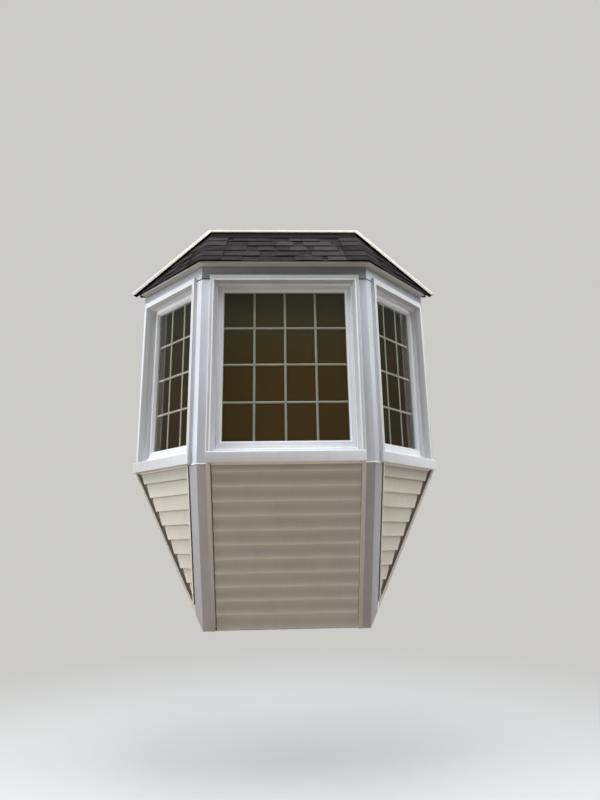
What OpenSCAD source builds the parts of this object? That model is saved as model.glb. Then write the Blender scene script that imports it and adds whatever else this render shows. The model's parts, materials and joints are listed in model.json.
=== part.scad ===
// Bay window: three fixed windows in an angled box that hangs on a house wall,
// under a shingled half-hip roof and over a lap-sided skirt that slopes back to
// the wall. X runs along the wall, Y runs into it and Z is up. The outer face of
// the wall is Y = 0. The origin is the centre of the wall ledger's back face.

/* [Plan] */
// Depth of the front face out from the wall
projection = 525; // [480:5:580]
// Width of the front face from corner to corner
front_width = 1158; // [1060:2:1300]
// Angle between each side face and the wall
flank_angle = 45; // [43:1:50]
// Thickness of the wall that the head and seat boards pass through
wall_depth = 116; // [100:1:180]

/* [Window layout] */
// Plain post face from a corner to the casing
corner_reveal = 60; // [52:1:72]
// Plain trim from the side casing to the wall
wall_reveal = 38; // [34:1:50]
// Height of the clear glass
glass_h = 1071; // [900:1:1300]
// Width of the sash at the sides and the top of the glass
sash_w = 40; // [36:1:48]
// Height of the sash's bottom rail
rail_h = 52; // [46:1:60]
// Height of the sash above the bottom of the opening
subsill_h = 20; // [15:1:26]

/* [Window sections] */
// Width of the outer window frame
frame_w = 30; // [26:1:38]
// Height of the frame's bottom member
frame_foot = 24; // [20:1:30]
// Depth of the outer window frame
frame_d = 83; // [76:1:95]
// Set-back of the sash behind the body face
sash_set = 48; // [42:1:54]
// Thickness of the sealed glass unit
glass_t = 19; // [14:1:22]
// Depth of the sash in front of the glass
glass_lip = 24; // [20:1:26]
// Depth of the glazing groove in the sash
groove_d = 12; // [8:1:14]
// Width of the sloped glazing bead around the glass
bead_w = 10; // [8:1:12]
// Step from the sash face back to the glazing bead
bead_step = 2; // [1.5:0.5:3]
// Width of the flat at the foot of that step
bead_flat = 1.5; // [1:0.5:2]
// Thickness of the glazing bead's edge on the glass
bead_edge = 4; // [3:1:6]
// Bevel around the inner face of the sash opening
sash_bevel = 7; // [4:1:8]
// How far the bottom rail leans out at its foot
rail_lean = 10; // [6:1:12]
// Width of the joint between the sash and the frame
sash_gap = 1; // [1:0.5:2]
// Depth of the joint between the sash and the frame
sash_joint = 8; // [4:1:12]
// Rise of the sub-sill from its front edge to the back of that joint
subsill_rise = 4; // [2:1:8]

/* [Casing and sill] */
// Width of the casing legs
casing_leg = 50; // [46:1:58]
// Height of the casing head
casing_head = 58; // [50:1:66]
// How far the casing stands proud of the posts
casing_proud = 20; // [16:1:26]
// Width of the sloped inner edge of the casing legs
casing_splay = 24; // [18:1:28]
// Height of the sloped lower edge of the casing head
head_splay = 16; // [12:1:22]
// Depth of the splay's inner edge behind the body face
casing_set = 5; // [2:1:8]
// Chamfer along the outer edge of the casing
casing_edge = 3; // [1:0.5:4]
// How far the casing laps over the post trim
casing_lap = 14; // [10:1:18]
// Height of the sill casing
sill_h = 72; // [64:1:74]
// Height of the sill casing's lower edge above the bottom of the unit
sill_lift = 3; // [2:1:6]
// How far the sill casing stands proud of the posts
sill_proud = 26; // [22:1:32]
// Height of the bevel along the sill casing's upper edge
sill_bevel = 5; // [3:1:8]
// How far the side sill casings reach past the casing towards the wall
sill_ear = 30; // [20:1:32]

/* [Boards and posts] */
// Thickness of the trim boards
trim_t = 19; // [16:1:22]
// Thickness of the head and seat boards
board_t = 32; // [25:1:38]
// Height of the seat board's underside above the bottom of the unit
seat_lift = 24; // [20:1:30]
// Shadow gap between the post tops and the frieze
post_gap = 5; // [3:1:8]
// How far the wall jambs stand out past the side trim
jamb_over = 9; // [6:1:14]
// Height of the frieze under the soffit
frieze_h = 90; // [80:1:120]

/* [Roof] */
// Overhang of the front fascia past the front face
eave_front = 60; // [50:1:72]
// Overhang of the side fascias past the side faces
eave_side = 49; // [42:1:60]
// Rise of the roof from the eave to the wall
roof_rise = 557; // [500:1:600]
// Thickness of the fascia boards
fascia_t = 19; // [16:1:22]
// Height of the fascia face that shows
fascia_face = 14; // [12:1:24]
// Distance that the side fascias end short of the wall, along each side face
eave_stop = 28; // [24:1:36]
// Thickness of the soffit panel
soffit_t = 8; // [6:1:10]
// Thickness of the roof deck
deck_t = 11; // [9:1:13]

/* [Shingles] */
// Exposed length of a shingle course up the slope
shingle_exposure = 149; // [130:1:160]
// Exposed length of the first course at the eave
first_course = 124; // [110:1:150]
// Thickness of a course at its lower edge
shingle_butt = 7; // [6:1:9]
// Thickness that still shows under the next course
shingle_head = 3; // [2:1:4]
// Overhang of the first course past the fascia
shingle_over = 6; // [4:1:10]
// Width of a hip cap on each slope
hip_cap_w = 145; // [120:1:165]
// Thickness of a hip cap at its lower edge
hip_cap_t = 4; // [3:1:6]
// Depth of the light channels over the flashing
rake_w = 16; // [12:1:20]
// Height of the channels' face
rake_h = 18; // [14:1:22]
// Height of the rake flashing above the deck
rake_up = 22; // [18:1:28]
// Width of the top flashing on the shingles
flashing_w = 115; // [90:1:130]
// Height of the top flashing on the wall above the shingles
flashing_up = 8; // [6:1:14]
// Thickness of the top flashing
flashing_t = 2; // [1.5:0.5:3]

/* [Skirt] */
// Height of the skirt from the unit down to its point on the wall
skirt_h = 1087; // [950:1:1200]
// Width of the skirt's corner posts on the front
skirt_post_w = 58; // [50:1:66]
// Width of the skirt's corner posts on each side
skirt_post_side = 73; // [64:1:82]
// Exposed height of a siding course along the slope
lap_exposure = 102.7; // [95:0.1:115]
// Height of the lowest course on the front, up the slope
front_first_lap = 122.5; // [100:0.5:140]
// Height of the lowest course on the sides, up the slope
side_first_lap = 136; // [100:0.5:150]
// Set-back of a course's lower edge behind the post face
lap_front = 3; // [2:1:4]
// Set-back of a course's upper end behind the post face
lap_back = 15; // [12:1:16]
// Height of the finish strip under the sill
finish_h = 14; // [10:1:20]
// Gap between the window's corner posts and the skirt's
skirt_gap = 4; // [2:1:6]
// Width of the raised channel beside each post on the front
channel_w = 29; // [24:1:34]
// Width of the groove between that channel and the siding
front_groove = 7; // [5:1:9]
// Width of the groove beside each post on the sides
side_groove = 14; // [11:1:17]
// Width of the channel lip between that groove and the siding
channel_lip = 12; // [9:1:15]
// Width of the channel along the wall
wall_channel_w = 22; // [18:1:28]
// Width of the wall channel's front lip
wall_lip = 8; // [6:1:10]
// Thickness of the channels' back flange
channel_t = 3; // [2:0.5:4]
// How far the channels stand proud of the post face
channel_proud = 2; // [1:1:3]

/* [Framing timber] */
// Thickness of the framing timber
timber_t = 38; // [35:1:45]
// Depth of the rafters and the seat joists
timber_d = 89; // [70:1:95]
// Height of the wall ledger under the seat board
ledger_h = 184; // [160:1:190]
// Fitting gap where timbers butt
fit_gap = 0.3; // [0.2:0.1:0.5]

/* [Ledger bolts] */
// Radius of the ledger's bolt holes
bolt_r = 6.5; // [5:0.5:8]
// Spacing of the bolt holes along the ledger
bolt_x = 1200; // [1160:10:1240]
// Spacing of the bolt holes up the ledger
bolt_z = 100; // [80:5:110]

/* [Hidden] */
$fn = 48;

// Plan values
front_half = front_width / 2;
ca = cos(flank_angle);
sa = sin(flank_angle);
// Reach of the solids that are cut to length, and of the cutters past a face
far = 4000;
cut = 1;

// Levels, counted from the bottom of the unit
unit_z = ledger_h / 2 - seat_lift;
seat_top = seat_lift + board_t;
sill_top = sill_lift + sill_h;
open_bottom = seat_top + frame_foot;
sash_bottom = open_bottom + subsill_h;
glass_bottom = sash_bottom + rail_h;
glass_top = glass_bottom + glass_h;
open_top = glass_top + sash_w;
head_z = open_top + frame_w;
post_top = head_z;
frieze_z = post_top + post_gap;
soffit_z = frieze_z + frieze_h;
eave_z = soffit_z + fascia_face;

// Depths behind the body face
frame_back = trim_t + frame_d;
glass_set = sash_set + glass_lip;

// Widths of the window openings
flank_len = projection / sa;
center_open = 2 * (front_half - corner_reveal - casing_leg);
flank_open = flank_len - corner_reveal - wall_reveal - 2 * casing_leg;
flank_mid = corner_reveal + casing_leg + flank_open / 2;

// Half width of the box that passes through the wall
jamb_out = wall_x(trim_t) + jamb_over;
jamb_in = flank_point(flank_mid + flank_open / 2 + frame_w, frame_back)[0];

// Roof slopes: the hips run straight back, square to the wall
hip_x = corner_x(-eave_front, -eave_side);
front_reach = projection + eave_front;
side_reach = (wall_x(-eave_side) - hip_x) * sa;
front_pitch = atan(roof_rise / front_reach);
side_pitch = atan(roof_rise / side_reach);
hip_cap_side = side_width(hip_cap_w, cos(front_pitch));
deck_top = eave_z + roof_rise;
flashing_top = deck_top + shingle_butt / cos(front_pitch) + flashing_up;

// Skirt slopes: its corners run straight back too
side_depth = projection * ca;
front_tilt = atan(projection / skirt_h);
side_tilt = atan(side_depth / skirt_h);
post_x = front_half - skirt_post_w;
panel_x = post_x - channel_w - front_groove;
side_post_x = side_line(skirt_post_side);
side_lip_x = side_line(skirt_post_side + side_groove);
side_panel_x = side_line(skirt_post_side + side_groove + channel_lip);
stud_x = panel_x - timber_t;

// X of a side line set back s, at depth y; where it meets the wall; and where it meets
// a front line set back f
function side_x(s, y) = front_half + (projection + y) * ca / sa - s / sa;
function wall_x(s) = side_x(s, 0);
function corner_x(f, s) = side_x(s, f - projection);

// Plan point on the right side face, s from the corner and n behind the face
function flank_point(s, n) = [front_half + s * ca - n * sa, -projection + s * sa + n * ca];

// X distance that a strip of width w covers on a side slope, square to the corner line
function side_width(w, lean) = w * ca / sqrt(1 - pow(sa * lean, 2));
function side_line(w) = front_half + side_width(w, sin(front_tilt));

// Point of a roof section, up the slope and out from the deck's top
function roof_point(eave, pitch, up, out) =
    [-eave + up * cos(pitch) - out * sin(pitch), eave_z + up * sin(pitch) + out * cos(pitch)];

// Height of the deck's top at a plan distance in from the body face
function deck_z(eave, pitch, p) = eave_z + (p + eave) * tan(pitch);

// Lapped roof section: thick at each lower edge, thin where the next course starts
function lapped_roof(eave, pitch, first, step, butt, head, base) =
    let (courses = ceil(roof_rise / sin(pitch) / step) + 2, start = -shingle_over / cos(pitch),
         edges = [for (i = [0 : courses]) i == 0 ? start : start + first + (i - 1) * step])
    concat(
        [for (i = [0 : courses - 1]) for (end = [0, 1])
            roof_point(eave, pitch, edges[i + end], end == 0 ? butt : head)],
        [roof_point(eave, pitch, edges[courses], base),
         roof_point(eave, pitch, start, base)]);

// A shingle field on the deck, and a cap that reaches down through the field
function field_section(eave, pitch) =
    lapped_roof(eave, pitch, first_course, shingle_exposure, shingle_butt, shingle_head, 0);
function cap_section(eave, pitch) =
    let (level = sin(front_pitch) / sin(pitch))
    lapped_roof(eave, pitch, first_course * level, shingle_exposure * level,
                shingle_butt + hip_cap_t, shingle_butt + hip_cap_t / 2, -hip_cap_w);

// Everything under a plane this far above the deck's top
function under_roof(eave, pitch, out) = [
    roof_point(eave, pitch, -far, out), roof_point(eave, pitch, far, out),
    roof_point(eave, pitch, far, -far), roof_point(eave, pitch, -far, -far)];

// Point of a skirt section, up the slope from its foot and in from the post face
function skirt_point(depth, tilt, up, in) =
    [depth - up * sin(tilt) + in * cos(tilt), -skirt_h + up * cos(tilt) + in * sin(tilt)];

// Plain skirt section between two set-backs
function skirt_layer(depth, tilt, in0, in1) = [
    skirt_point(depth, tilt, -far, in0), skirt_point(depth, tilt, far, in0),
    skirt_point(depth, tilt, far, in1), skirt_point(depth, tilt, -far, in1)];

// Lap siding section: each course leans out to its lower edge
function lap_section(depth, tilt, first) =
    let (courses = ceil(skirt_h / cos(tilt) / lap_exposure) + 1,
         edges = [for (i = [0 : courses]) i == 0 ? 0 : first + (i - 1) * lap_exposure])
    concat(
        [for (i = [0 : courses - 1]) for (end = [0, 1])
            skirt_point(depth, tilt, edges[i + end], end == 0 ? lap_front : lap_back)],
        [skirt_point(depth, tilt, edges[courses], trim_t),
         skirt_point(depth, tilt, 0, trim_t)]);

// Set-back of the skirt's inner face behind a body face, at a level below the unit
function skirt_inner(tilt, z) = trim_t / cos(tilt) - z * tan(tilt);

// Placing
module unit() translate([0, 0, unit_z]) children();
module on_front() translate([0, -projection, 0]) children();
module on_right() translate([front_half, -projection, 0]) rotate([0, 0, flank_angle]) children();
module to_left() mirror([1, 0, 0]) children();

// A section drawn as (in, up), run from a to b, and the same along a body face
module run(a, b) translate([a, 0, 0]) rotate([90, 0, 90]) linear_extrude(b - a) children();
module front_run(a = -far, b = far) on_front() run(a, b) children();
module side_run(a = -far, b = far) on_right() run(a, b) children();

// A box between two corners
module block(low, high) translate(low) cube(high - low);

// Keeps what lies in front of the wall between two X values
module keep(x0, x1, y1 = 0, y0 = -far, z0 = -far, z1 = far) intersection() {
    children();
    block([x0, y0, z0], [x1, y1, z1]);
}

// Plan of the bay between its side lines, f and s set back, out to a depth at the back
module bay_plan(f, s, back = 0) polygon([
    [-side_x(s, back), back], [-corner_x(f, s), f - projection],
    [corner_x(f, s), f - projection], [side_x(s, back), back]]);

// Plan of the box at a set-back, with the part that passes through the wall
module board_plan(n, out) polygon([
    [-out, wall_depth], [-out, 0], [-wall_x(n), 0], [-corner_x(n, n), n - projection],
    [corner_x(n, n), n - projection], [wall_x(n), 0], [out, 0], [out, wall_depth]]);

// A recess with mitred slopes: half wide to each side at depth y1, wider at y0 by side
// and higher by head, and carried on a little past y0 to cut clean
module splay(half, z0, z1, y0, y1, side, head) {
    past = 1 + cut / abs(y1 - y0);
    y = y1 + (y0 - y1) * past;
    gx = side * past;
    gz = head * past;
    intersection() {
        run(-half - gx, half + gx) polygon([[y, z0 - gz], [y, z1 + gz], [y1, z1], [y1, z0]]);
        translate([0, 0, z0 - gz]) linear_extrude(z1 - z0 + 2 * gz) polygon([
            [-half - gx, y], [half + gx, y], [half, y1], [-half, y1]]);
    }
}

// The outer frame, with the recess over its sub-sill
module outer_frame(open) difference() {
    block([-open / 2 - frame_w, trim_t, seat_top], [open / 2 + frame_w, frame_back, head_z]);
    run(-open / 2, open / 2) polygon([
        [trim_t - cut, open_bottom], [trim_t, open_bottom],
        [sash_set + sash_joint, open_bottom + subsill_rise],
        [sash_set + sash_joint, open_top], [trim_t - cut, open_top]]);
}

// The bottom rail's face leans out to its foot, mitred to the sash's sides
module rail_face(open) intersection() {
    half = open / 2 - sash_gap;
    top = glass_bottom - bead_w - 2 * bead_flat;
    inset = (top - sash_bottom) * (sash_w - sash_gap) / rail_h;
    run(-half, half) polygon([
        [sash_set + sash_joint, sash_bottom], [sash_set - rail_lean, sash_bottom],
        [sash_set, top], [sash_set + sash_joint, top]]);
    translate([0, frame_back, 0]) rotate([90, 0, 0]) linear_extrude(frame_back) polygon([
        [-half, sash_bottom], [half, sash_bottom], [half - inset, top], [inset - half, top]]);
}

// A vinyl window: the outer frame, and the sash with its glazing bead and groove
module window_frame(open) color("whitesmoke") difference() {
    half = open / 2 - sash_w;
    step = bead_w + bead_flat;
    union() {
        outer_frame(open);
        rail_face(open);
        block([sash_gap - open / 2, sash_set, sash_bottom],
              [open / 2 - sash_gap, frame_back, open_top - sash_gap]);
    }
    block([-half, sash_set - cut, glass_bottom], [half, frame_back + cut, glass_top]);
    block([-half - groove_d, glass_set, glass_bottom - groove_d],
          [half + groove_d, glass_set + glass_t, glass_top + groove_d]);
    block([-half - step, sash_set - cut, glass_bottom - step],
          [half + step, sash_set + bead_step, glass_top + step]);
    splay(half, glass_bottom, glass_top, sash_set + bead_step, glass_set - bead_edge,
          bead_w, bead_w);
    splay(half, glass_bottom, glass_top, frame_back, frame_back - sash_bevel,
          sash_bevel, sash_bevel);
}

// The sealed glass unit seated in the groove
module glass(open) color("lightsteelblue", 0.5)
    block([-open / 2 + sash_w - groove_d, glass_set, glass_bottom - groove_d],
          [open / 2 - sash_w + groove_d, glass_set + glass_t, glass_top + groove_d]);

// Two casing legs and a head: chamfered outside, splayed to the window inside
module casing(open) color("white") difference() {
    half = open / 2 + casing_leg;
    inner = half - casing_lap;
    top = open_top + casing_head;
    chamfer = casing_edge - casing_proud;
    union() {
        intersection() {
            run(-half, half) polygon([
                [0, sill_top], [-casing_proud, sill_top], [-casing_proud, top - casing_edge],
                [chamfer, top], [0, top]]);
            translate([0, 0, sill_top]) linear_extrude(top - sill_top) polygon([
                [-half, 0], [-half, chamfer], [casing_edge - half, -casing_proud],
                [half - casing_edge, -casing_proud], [half, chamfer], [half, 0]]);
        }
        block([-inner, -casing_set, sill_top], [inner, trim_t, frieze_z]);
    }
    block([-open / 2, -casing_proud - cut, sill_top - cut], [open / 2, trim_t + cut, open_top]);
    splay(open / 2, 0, open_top, -casing_proud, casing_set, casing_splay, head_splay);
}

// The sill casing: a bevelled nosing over the posts and a board between them
module sill(open, ear) color("white") {
    half = open / 2 + casing_leg;
    inner = half - casing_lap;
    run(-half, half + ear) polygon([
        [-sill_proud, sill_lift], [-sill_proud, sill_top - sill_bevel],
        [-casing_proud, sill_top], [0, sill_top], [0, sill_lift]]);
    run(-inner, inner) polygon([
        [-casing_set, sill_lift], [0, sill_lift], [0, 0], [trim_t, 0], [trim_t, sill_top],
        [-casing_set, sill_top]]);
    run(-open / 2, open / 2) polygon([
        [-casing_proud, sill_top - cut], [-casing_proud, sill_top], [trim_t, open_bottom],
        [trim_t, sill_top - cut]]);
}

// A corner's two trim boards, mitred along the corner
module corner_post() color("gainsboro") linear_extrude(post_top) {
    face = corner_reveal + casing_lap;
    polygon([
        [front_half - face, -projection], [front_half, -projection], flank_point(face, 0),
        flank_point(face, trim_t), [corner_x(trim_t, trim_t), trim_t - projection],
        [front_half - face, trim_t - projection]]);
}

// The timber post that joins two windows at a corner
module mullion_post() color("burlywood") translate([0, 0, seat_top])
    linear_extrude(head_z - seat_top) {
        edge = corner_reveal + casing_leg - frame_w;
        polygon([
            [front_half - edge, trim_t - projection],
            [corner_x(trim_t, trim_t), trim_t - projection],
            flank_point(edge, trim_t), flank_point(edge, frame_back),
            [front_half - edge, frame_back - projection]]);
    }

// The post beside a side window, inside the thickness of the wall
module wall_jamb() color("burlywood") translate([0, 0, seat_top])
    linear_extrude(head_z - seat_top) {
        edge = flank_mid + flank_open / 2 + frame_w;
        polygon([
            flank_point(edge, trim_t), [wall_x(trim_t), 0], [jamb_out, 0],
            [jamb_out, wall_depth], [jamb_in, wall_depth], flank_point(edge, frame_back)]);
    }

// The trim board from the side casing to the wall
module wall_trim() color("gainsboro") linear_extrude(post_top) {
    edge = flank_mid + flank_open / 2 + casing_leg - casing_lap;
    polygon([
        flank_point(edge, 0), [wall_x(0), 0], [wall_x(trim_t), 0], flank_point(edge, trim_t)]);
}

// Frieze boards under the soffit
module frieze_front() color("gainsboro") unit() translate([0, 0, frieze_z])
    linear_extrude(frieze_h) polygon([
        [-front_half, -projection], [front_half, -projection],
        [corner_x(trim_t, trim_t), trim_t - projection],
        [-corner_x(trim_t, trim_t), trim_t - projection]]);

module frieze_right() color("gainsboro") unit() translate([0, 0, frieze_z])
    linear_extrude(frieze_h) polygon([
        [front_half, -projection], [wall_x(0), 0], [wall_x(trim_t), 0],
        [corner_x(trim_t, trim_t), trim_t - projection]]);

module frieze_left() to_left() frieze_right();

// Head and seat boards
module head_board() color("burlywood") unit() translate([0, 0, head_z])
    linear_extrude(board_t) board_plan(trim_t, jamb_out);

module seat_board() color("burlywood") unit() translate([0, 0, seat_lift])
    linear_extrude(board_t) board_plan(trim_t, jamb_out);

// Everything under the front and right roof planes, raised by out
module roof_corner(out) intersection() {
    front_run() polygon(under_roof(eave_front, front_pitch, out));
    side_run() polygon(under_roof(eave_side, side_pitch, out));
}

// Plan of the overhang at a set-back, its ends cut square short of the wall
module eave_plan(in) {
    s = in - eave_side;
    end = flank_len - eave_stop;
    x = corner_x(in - eave_front, s);
    y = in - eave_front - projection;
    outer = flank_point(end, s);
    inner = flank_point(end, trim_t + cut);
    polygon([
        [-inner[0], inner[1]], [-outer[0], outer[1]], [-x, y],
        [x, y], [outer[0], outer[1]], [inner[0], inner[1]]]);
}

// Flat soffit panel between the fascia and the frieze
module soffit() color("lightgray") unit() translate([0, 0, soffit_z])
    linear_extrude(soffit_t) difference() {
        eave_plan(fascia_t);
        bay_plan(trim_t, trim_t, cut);
    }

// Fascia boards, their tops bevelled in the planes of the deck
module fascia() color("lightgray") unit() intersection() {
    translate([0, 0, soffit_z]) linear_extrude(frieze_h) difference() {
        eave_plan(0);
        bay_plan(fascia_t - eave_front, fascia_t - eave_side, cut);
    }
    roof_corner(0);
    to_left() roof_corner(0);
}

// Roof deck boards with plumb-cut ends
function deck_section(eave, pitch) = [
    [fascia_t - eave, deck_z(eave, pitch, fascia_t - eave)], [far, deck_z(eave, pitch, far)],
    [far, deck_z(eave, pitch, far) - deck_t / cos(pitch)],
    [fascia_t - eave, deck_z(eave, pitch, fascia_t - eave) - deck_t / cos(pitch)]];

module roof_deck_front() color("tan") unit() keep(-hip_x, hip_x)
    front_run() polygon(deck_section(eave_front, front_pitch));

module roof_deck_right() color("tan") unit() keep(hip_x, far)
    side_run() polygon(deck_section(eave_side, side_pitch));

module roof_deck_left() to_left() roof_deck_right();

// Shingle fields
module shingles_front() color("dimgray") unit() keep(-hip_x, hip_x, -flashing_t)
    front_run() polygon(field_section(eave_front, front_pitch));

module shingles_right() color("dimgray") unit() keep(hip_x, far, -flashing_t)
    side_run() polygon(field_section(eave_side, side_pitch));

module shingles_left() to_left() shingles_right();

// Hip caps, mitred over each hip, their courses level on both slopes
module hip_cap_right() color("dimgray") unit()
    keep(hip_x - hip_cap_w, hip_x + hip_cap_side, -flashing_w) difference() {
        intersection() {
            front_run() polygon(cap_section(eave_front, front_pitch));
            side_run() polygon(cap_section(eave_side, side_pitch));
        }
        roof_corner(shingle_butt);
    }

module hip_cap_left() to_left() hip_cap_right();

// A strip along a rake, between two heights above the deck and under a level
module rake_strip(x, depth, low, high, top) keep(x, far, 0, -depth, -far, top)
    side_run() polygon([
        roof_point(eave_side, side_pitch, 0, low), roof_point(eave_side, side_pitch, far, low),
        roof_point(eave_side, side_pitch, far, high),
        roof_point(eave_side, side_pitch, 0, high)]);

// Channels along the rakes and over the top flashing, against the wall
module rake_channels() color("ivory") unit() {
    for (side = [0, 1]) mirror([side, 0, 0])
        rake_strip(hip_x, rake_w, rake_up, rake_up + rake_h, flashing_top + rake_h);
    block([-hip_x - rake_w, -rake_w, flashing_top], [hip_x + rake_w, 0, flashing_top + rake_h]);
}

// Flashing over the top course and up the wall, and up the wall along the rakes
module top_flashing() color("darkslategray") unit() {
    inner = projection - flashing_t;
    low = projection - flashing_w;
    lift = shingle_butt / cos(front_pitch);
    sheet = lift + flashing_t / cos(front_pitch);
    inner_z = deck_z(eave_front, front_pitch, inner);
    low_z = deck_z(eave_front, front_pitch, low);
    front_run(-hip_x, hip_x) polygon([
        [low, low_z + lift], [low, low_z + sheet], [inner, inner_z + sheet],
        [inner, flashing_top], [projection, flashing_top],
        [projection, deck_top], [inner, inner_z], [inner, inner_z + lift]]);
    for (side = [0, 1]) mirror([side, 0, 0])
        rake_strip(hip_x + fit_gap, flashing_t, 0, rake_up, flashing_top);
}

// Wall ledger that carries the rafters
module roof_ledger() color("burlywood") unit() {
    inner = projection - timber_t;
    drop = deck_t / cos(front_pitch);
    low = deck_z(eave_front, front_pitch, inner) - drop - timber_d - timber_t;
    front_run(timber_t - hip_x, hip_x - timber_t) polygon([
        [inner, low], [inner, deck_z(eave_front, front_pitch, inner) - drop],
        [projection, deck_z(eave_front, front_pitch, projection) - drop], [projection, low]]);
}

// A rafter from the eave to a plan distance behind the face, cut level over the soffit
function rafter_section(eave, pitch, last) =
    let (v = deck_t / cos(pitch), d = v + timber_d / cos(pitch), low = soffit_z + soffit_t,
         turn = (low + d - eave_z) / tan(pitch) - eave)
    [[fascia_t - eave, low], [fascia_t - eave, deck_z(eave, pitch, fascia_t - eave) - v],
     [last, deck_z(eave, pitch, last) - v], [last, deck_z(eave, pitch, last) - d], [turn, low]];

module rafter(x) front_run(x - timber_t / 2, x + timber_t / 2)
    polygon(rafter_section(eave_front, front_pitch, projection - timber_t - fit_gap));

module hip_rafter() front_run(hip_x - timber_t, hip_x)
    polygon(rafter_section(eave_front, front_pitch, projection));

module jack_rafter(s) keep(hip_x + fit_gap, far, -timber_t - fit_gap)
    side_run(s - timber_t / 2, s + timber_t / 2)
        polygon(rafter_section(eave_side, side_pitch, far));

module rake_nailer() keep(hip_x + fit_gap, far, 0, -timber_t)
    side_run() polygon(rafter_section(eave_side, side_pitch, far));

module rafters() color("burlywood") unit() {
    for (x = [-1, 0, 1]) rafter(x * front_half / 2);
    for (side = [0, 1]) mirror([side, 0, 0]) {
        hip_rafter();
        rake_nailer();
        jack_rafter(flank_len / 2);
    }
}

// Skirt panels: lap siding under a finish strip
module skirt_slope(x0, x1, y1) {
    keep(x0, x1, y1, -far, -skirt_h, 0) children(0);
    keep(x0, x1, y1, -far, -finish_h, 0) children(1);
}

module skirt_panel_front() color("antiquewhite") unit() skirt_slope(-panel_x, panel_x, 0) {
    front_run() polygon(lap_section(projection, front_tilt, front_first_lap));
    front_run() polygon(skirt_layer(projection, front_tilt, lap_front, trim_t));
}

module skirt_panel_right() color("antiquewhite") unit()
    skirt_slope(side_panel_x, far, -wall_channel_w) {
        side_run() polygon(lap_section(side_depth, side_tilt, side_first_lap));
        side_run() polygon(skirt_layer(side_depth, side_tilt, lap_front, trim_t));
    }

module skirt_panel_left() to_left() skirt_panel_right();

// The skirt between its outer faces set back n0 and n1, mitred at the corner
module skirt_shell(n0, n1) difference() {
    skirt_body(n0);
    skirt_body(n1);
}

module skirt_body(n) intersection() {
    front_run() polygon(skirt_layer(projection, front_tilt, n, far));
    side_run() polygon(skirt_layer(side_depth, side_tilt, n, far));
}

// Corner posts of the skirt: two mitred boards
module skirt_post_right() color("silver") unit()
    keep(post_x, side_post_x, 0, -far, -skirt_h, -skirt_gap)
        skirt_shell(0, trim_t);

module skirt_post_left() to_left() skirt_post_right();

// Channels that receive the siding's ends: a lip in front and an open groove beside it
module channel_strip(x0, x1, n, y0 = -far)
    keep(x0, x1, 0, y0, -skirt_h, 0) skirt_shell(n, trim_t);

module skirt_channel() {
    flange = trim_t - channel_t;
    channel_strip(panel_x, post_x, flange);
    channel_strip(post_x - channel_w, post_x, -channel_proud);
    channel_strip(side_post_x, side_panel_x, flange);
    channel_strip(side_lip_x, side_panel_x, -channel_proud);
    channel_strip(side_panel_x, far, flange, -wall_channel_w);
    channel_strip(side_panel_x, far, -channel_proud, -wall_lip);
}

module skirt_channels() color("ivory") unit() {
    skirt_channel();
    to_left() skirt_channel();
}

// Ledger bolted to the wall under the seat board
module wall_ledger() color("burlywood") {
    half = wall_x(skirt_inner(side_tilt, seat_lift - ledger_h)) - timber_t * ca / sa - fit_gap;
    difference() {
        block([-half, -timber_t, -ledger_h / 2], [half, 0, ledger_h / 2]);
        for (x = [-1, 1]) for (z = [-1, 1])
            translate([x * bolt_x / 2, cut, z * bolt_z / 2]) rotate([90, 0, 0])
                cylinder(r = bolt_r, h = timber_t + 2 * cut);
    }
}

// Joists and rims that carry the seat board
module seat_joists() color("burlywood") unit() {
    low = seat_lift - timber_d;
    rim = skirt_inner(front_tilt, low) + fit_gap;
    side_rim = skirt_inner(side_tilt, low) + fit_gap;
    half = corner_x(rim, side_rim) - timber_t;
    on_front() block([-half, rim, low], [half, rim + timber_t, seat_lift]);
    for (i = [-3 : 2 : 3]) let (x = i * front_half / 4)
        block([x - timber_t / 2, rim + timber_t + fit_gap - projection, low],
              [x + timber_t / 2, -timber_t - fit_gap, seat_lift]);
    for (side = [0, 1]) mirror([side, 0, 0])
        keep(half + fit_gap, far, -timber_t - fit_gap, rim - projection)
            on_right() block([-far, side_rim, low], [far, side_rim + timber_t, seat_lift]);
}

// Sloped studs behind the front panel and the cleat at their foot
module skirt_studs() color("burlywood") unit() {
    low = seat_lift - timber_d - fit_gap;
    foot = (timber_t + trim_t / cos(front_tilt)) / tan(front_tilt) - skirt_h + fit_gap;
    half = wall_x(skirt_inner(side_tilt, foot)) - timber_t * ca / sa - fit_gap;
    for (x = [-stud_x, 0, stud_x])
        keep(x - timber_t / 2, x + timber_t / 2, -timber_t - fit_gap, -far, -skirt_h, low)
            front_run() polygon(skirt_layer(projection, front_tilt, trim_t, trim_t + timber_t));
    block([-half, -timber_t, foot], [half, 0, foot + timber_d]);
}

module mullion_posts() unit() {
    mullion_post();
    to_left() mullion_post();
}

module wall_jambs() unit() {
    wall_jamb();
    to_left() wall_jamb();
}

module wall_trims() unit() {
    wall_trim();
    to_left() wall_trim();
}

module corner_post_right() unit() corner_post();
module corner_post_left() to_left() corner_post_right();

module at_center() unit() on_front() children();
module at_right() unit() on_right() translate([flank_mid, 0, 0]) children();

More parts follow.
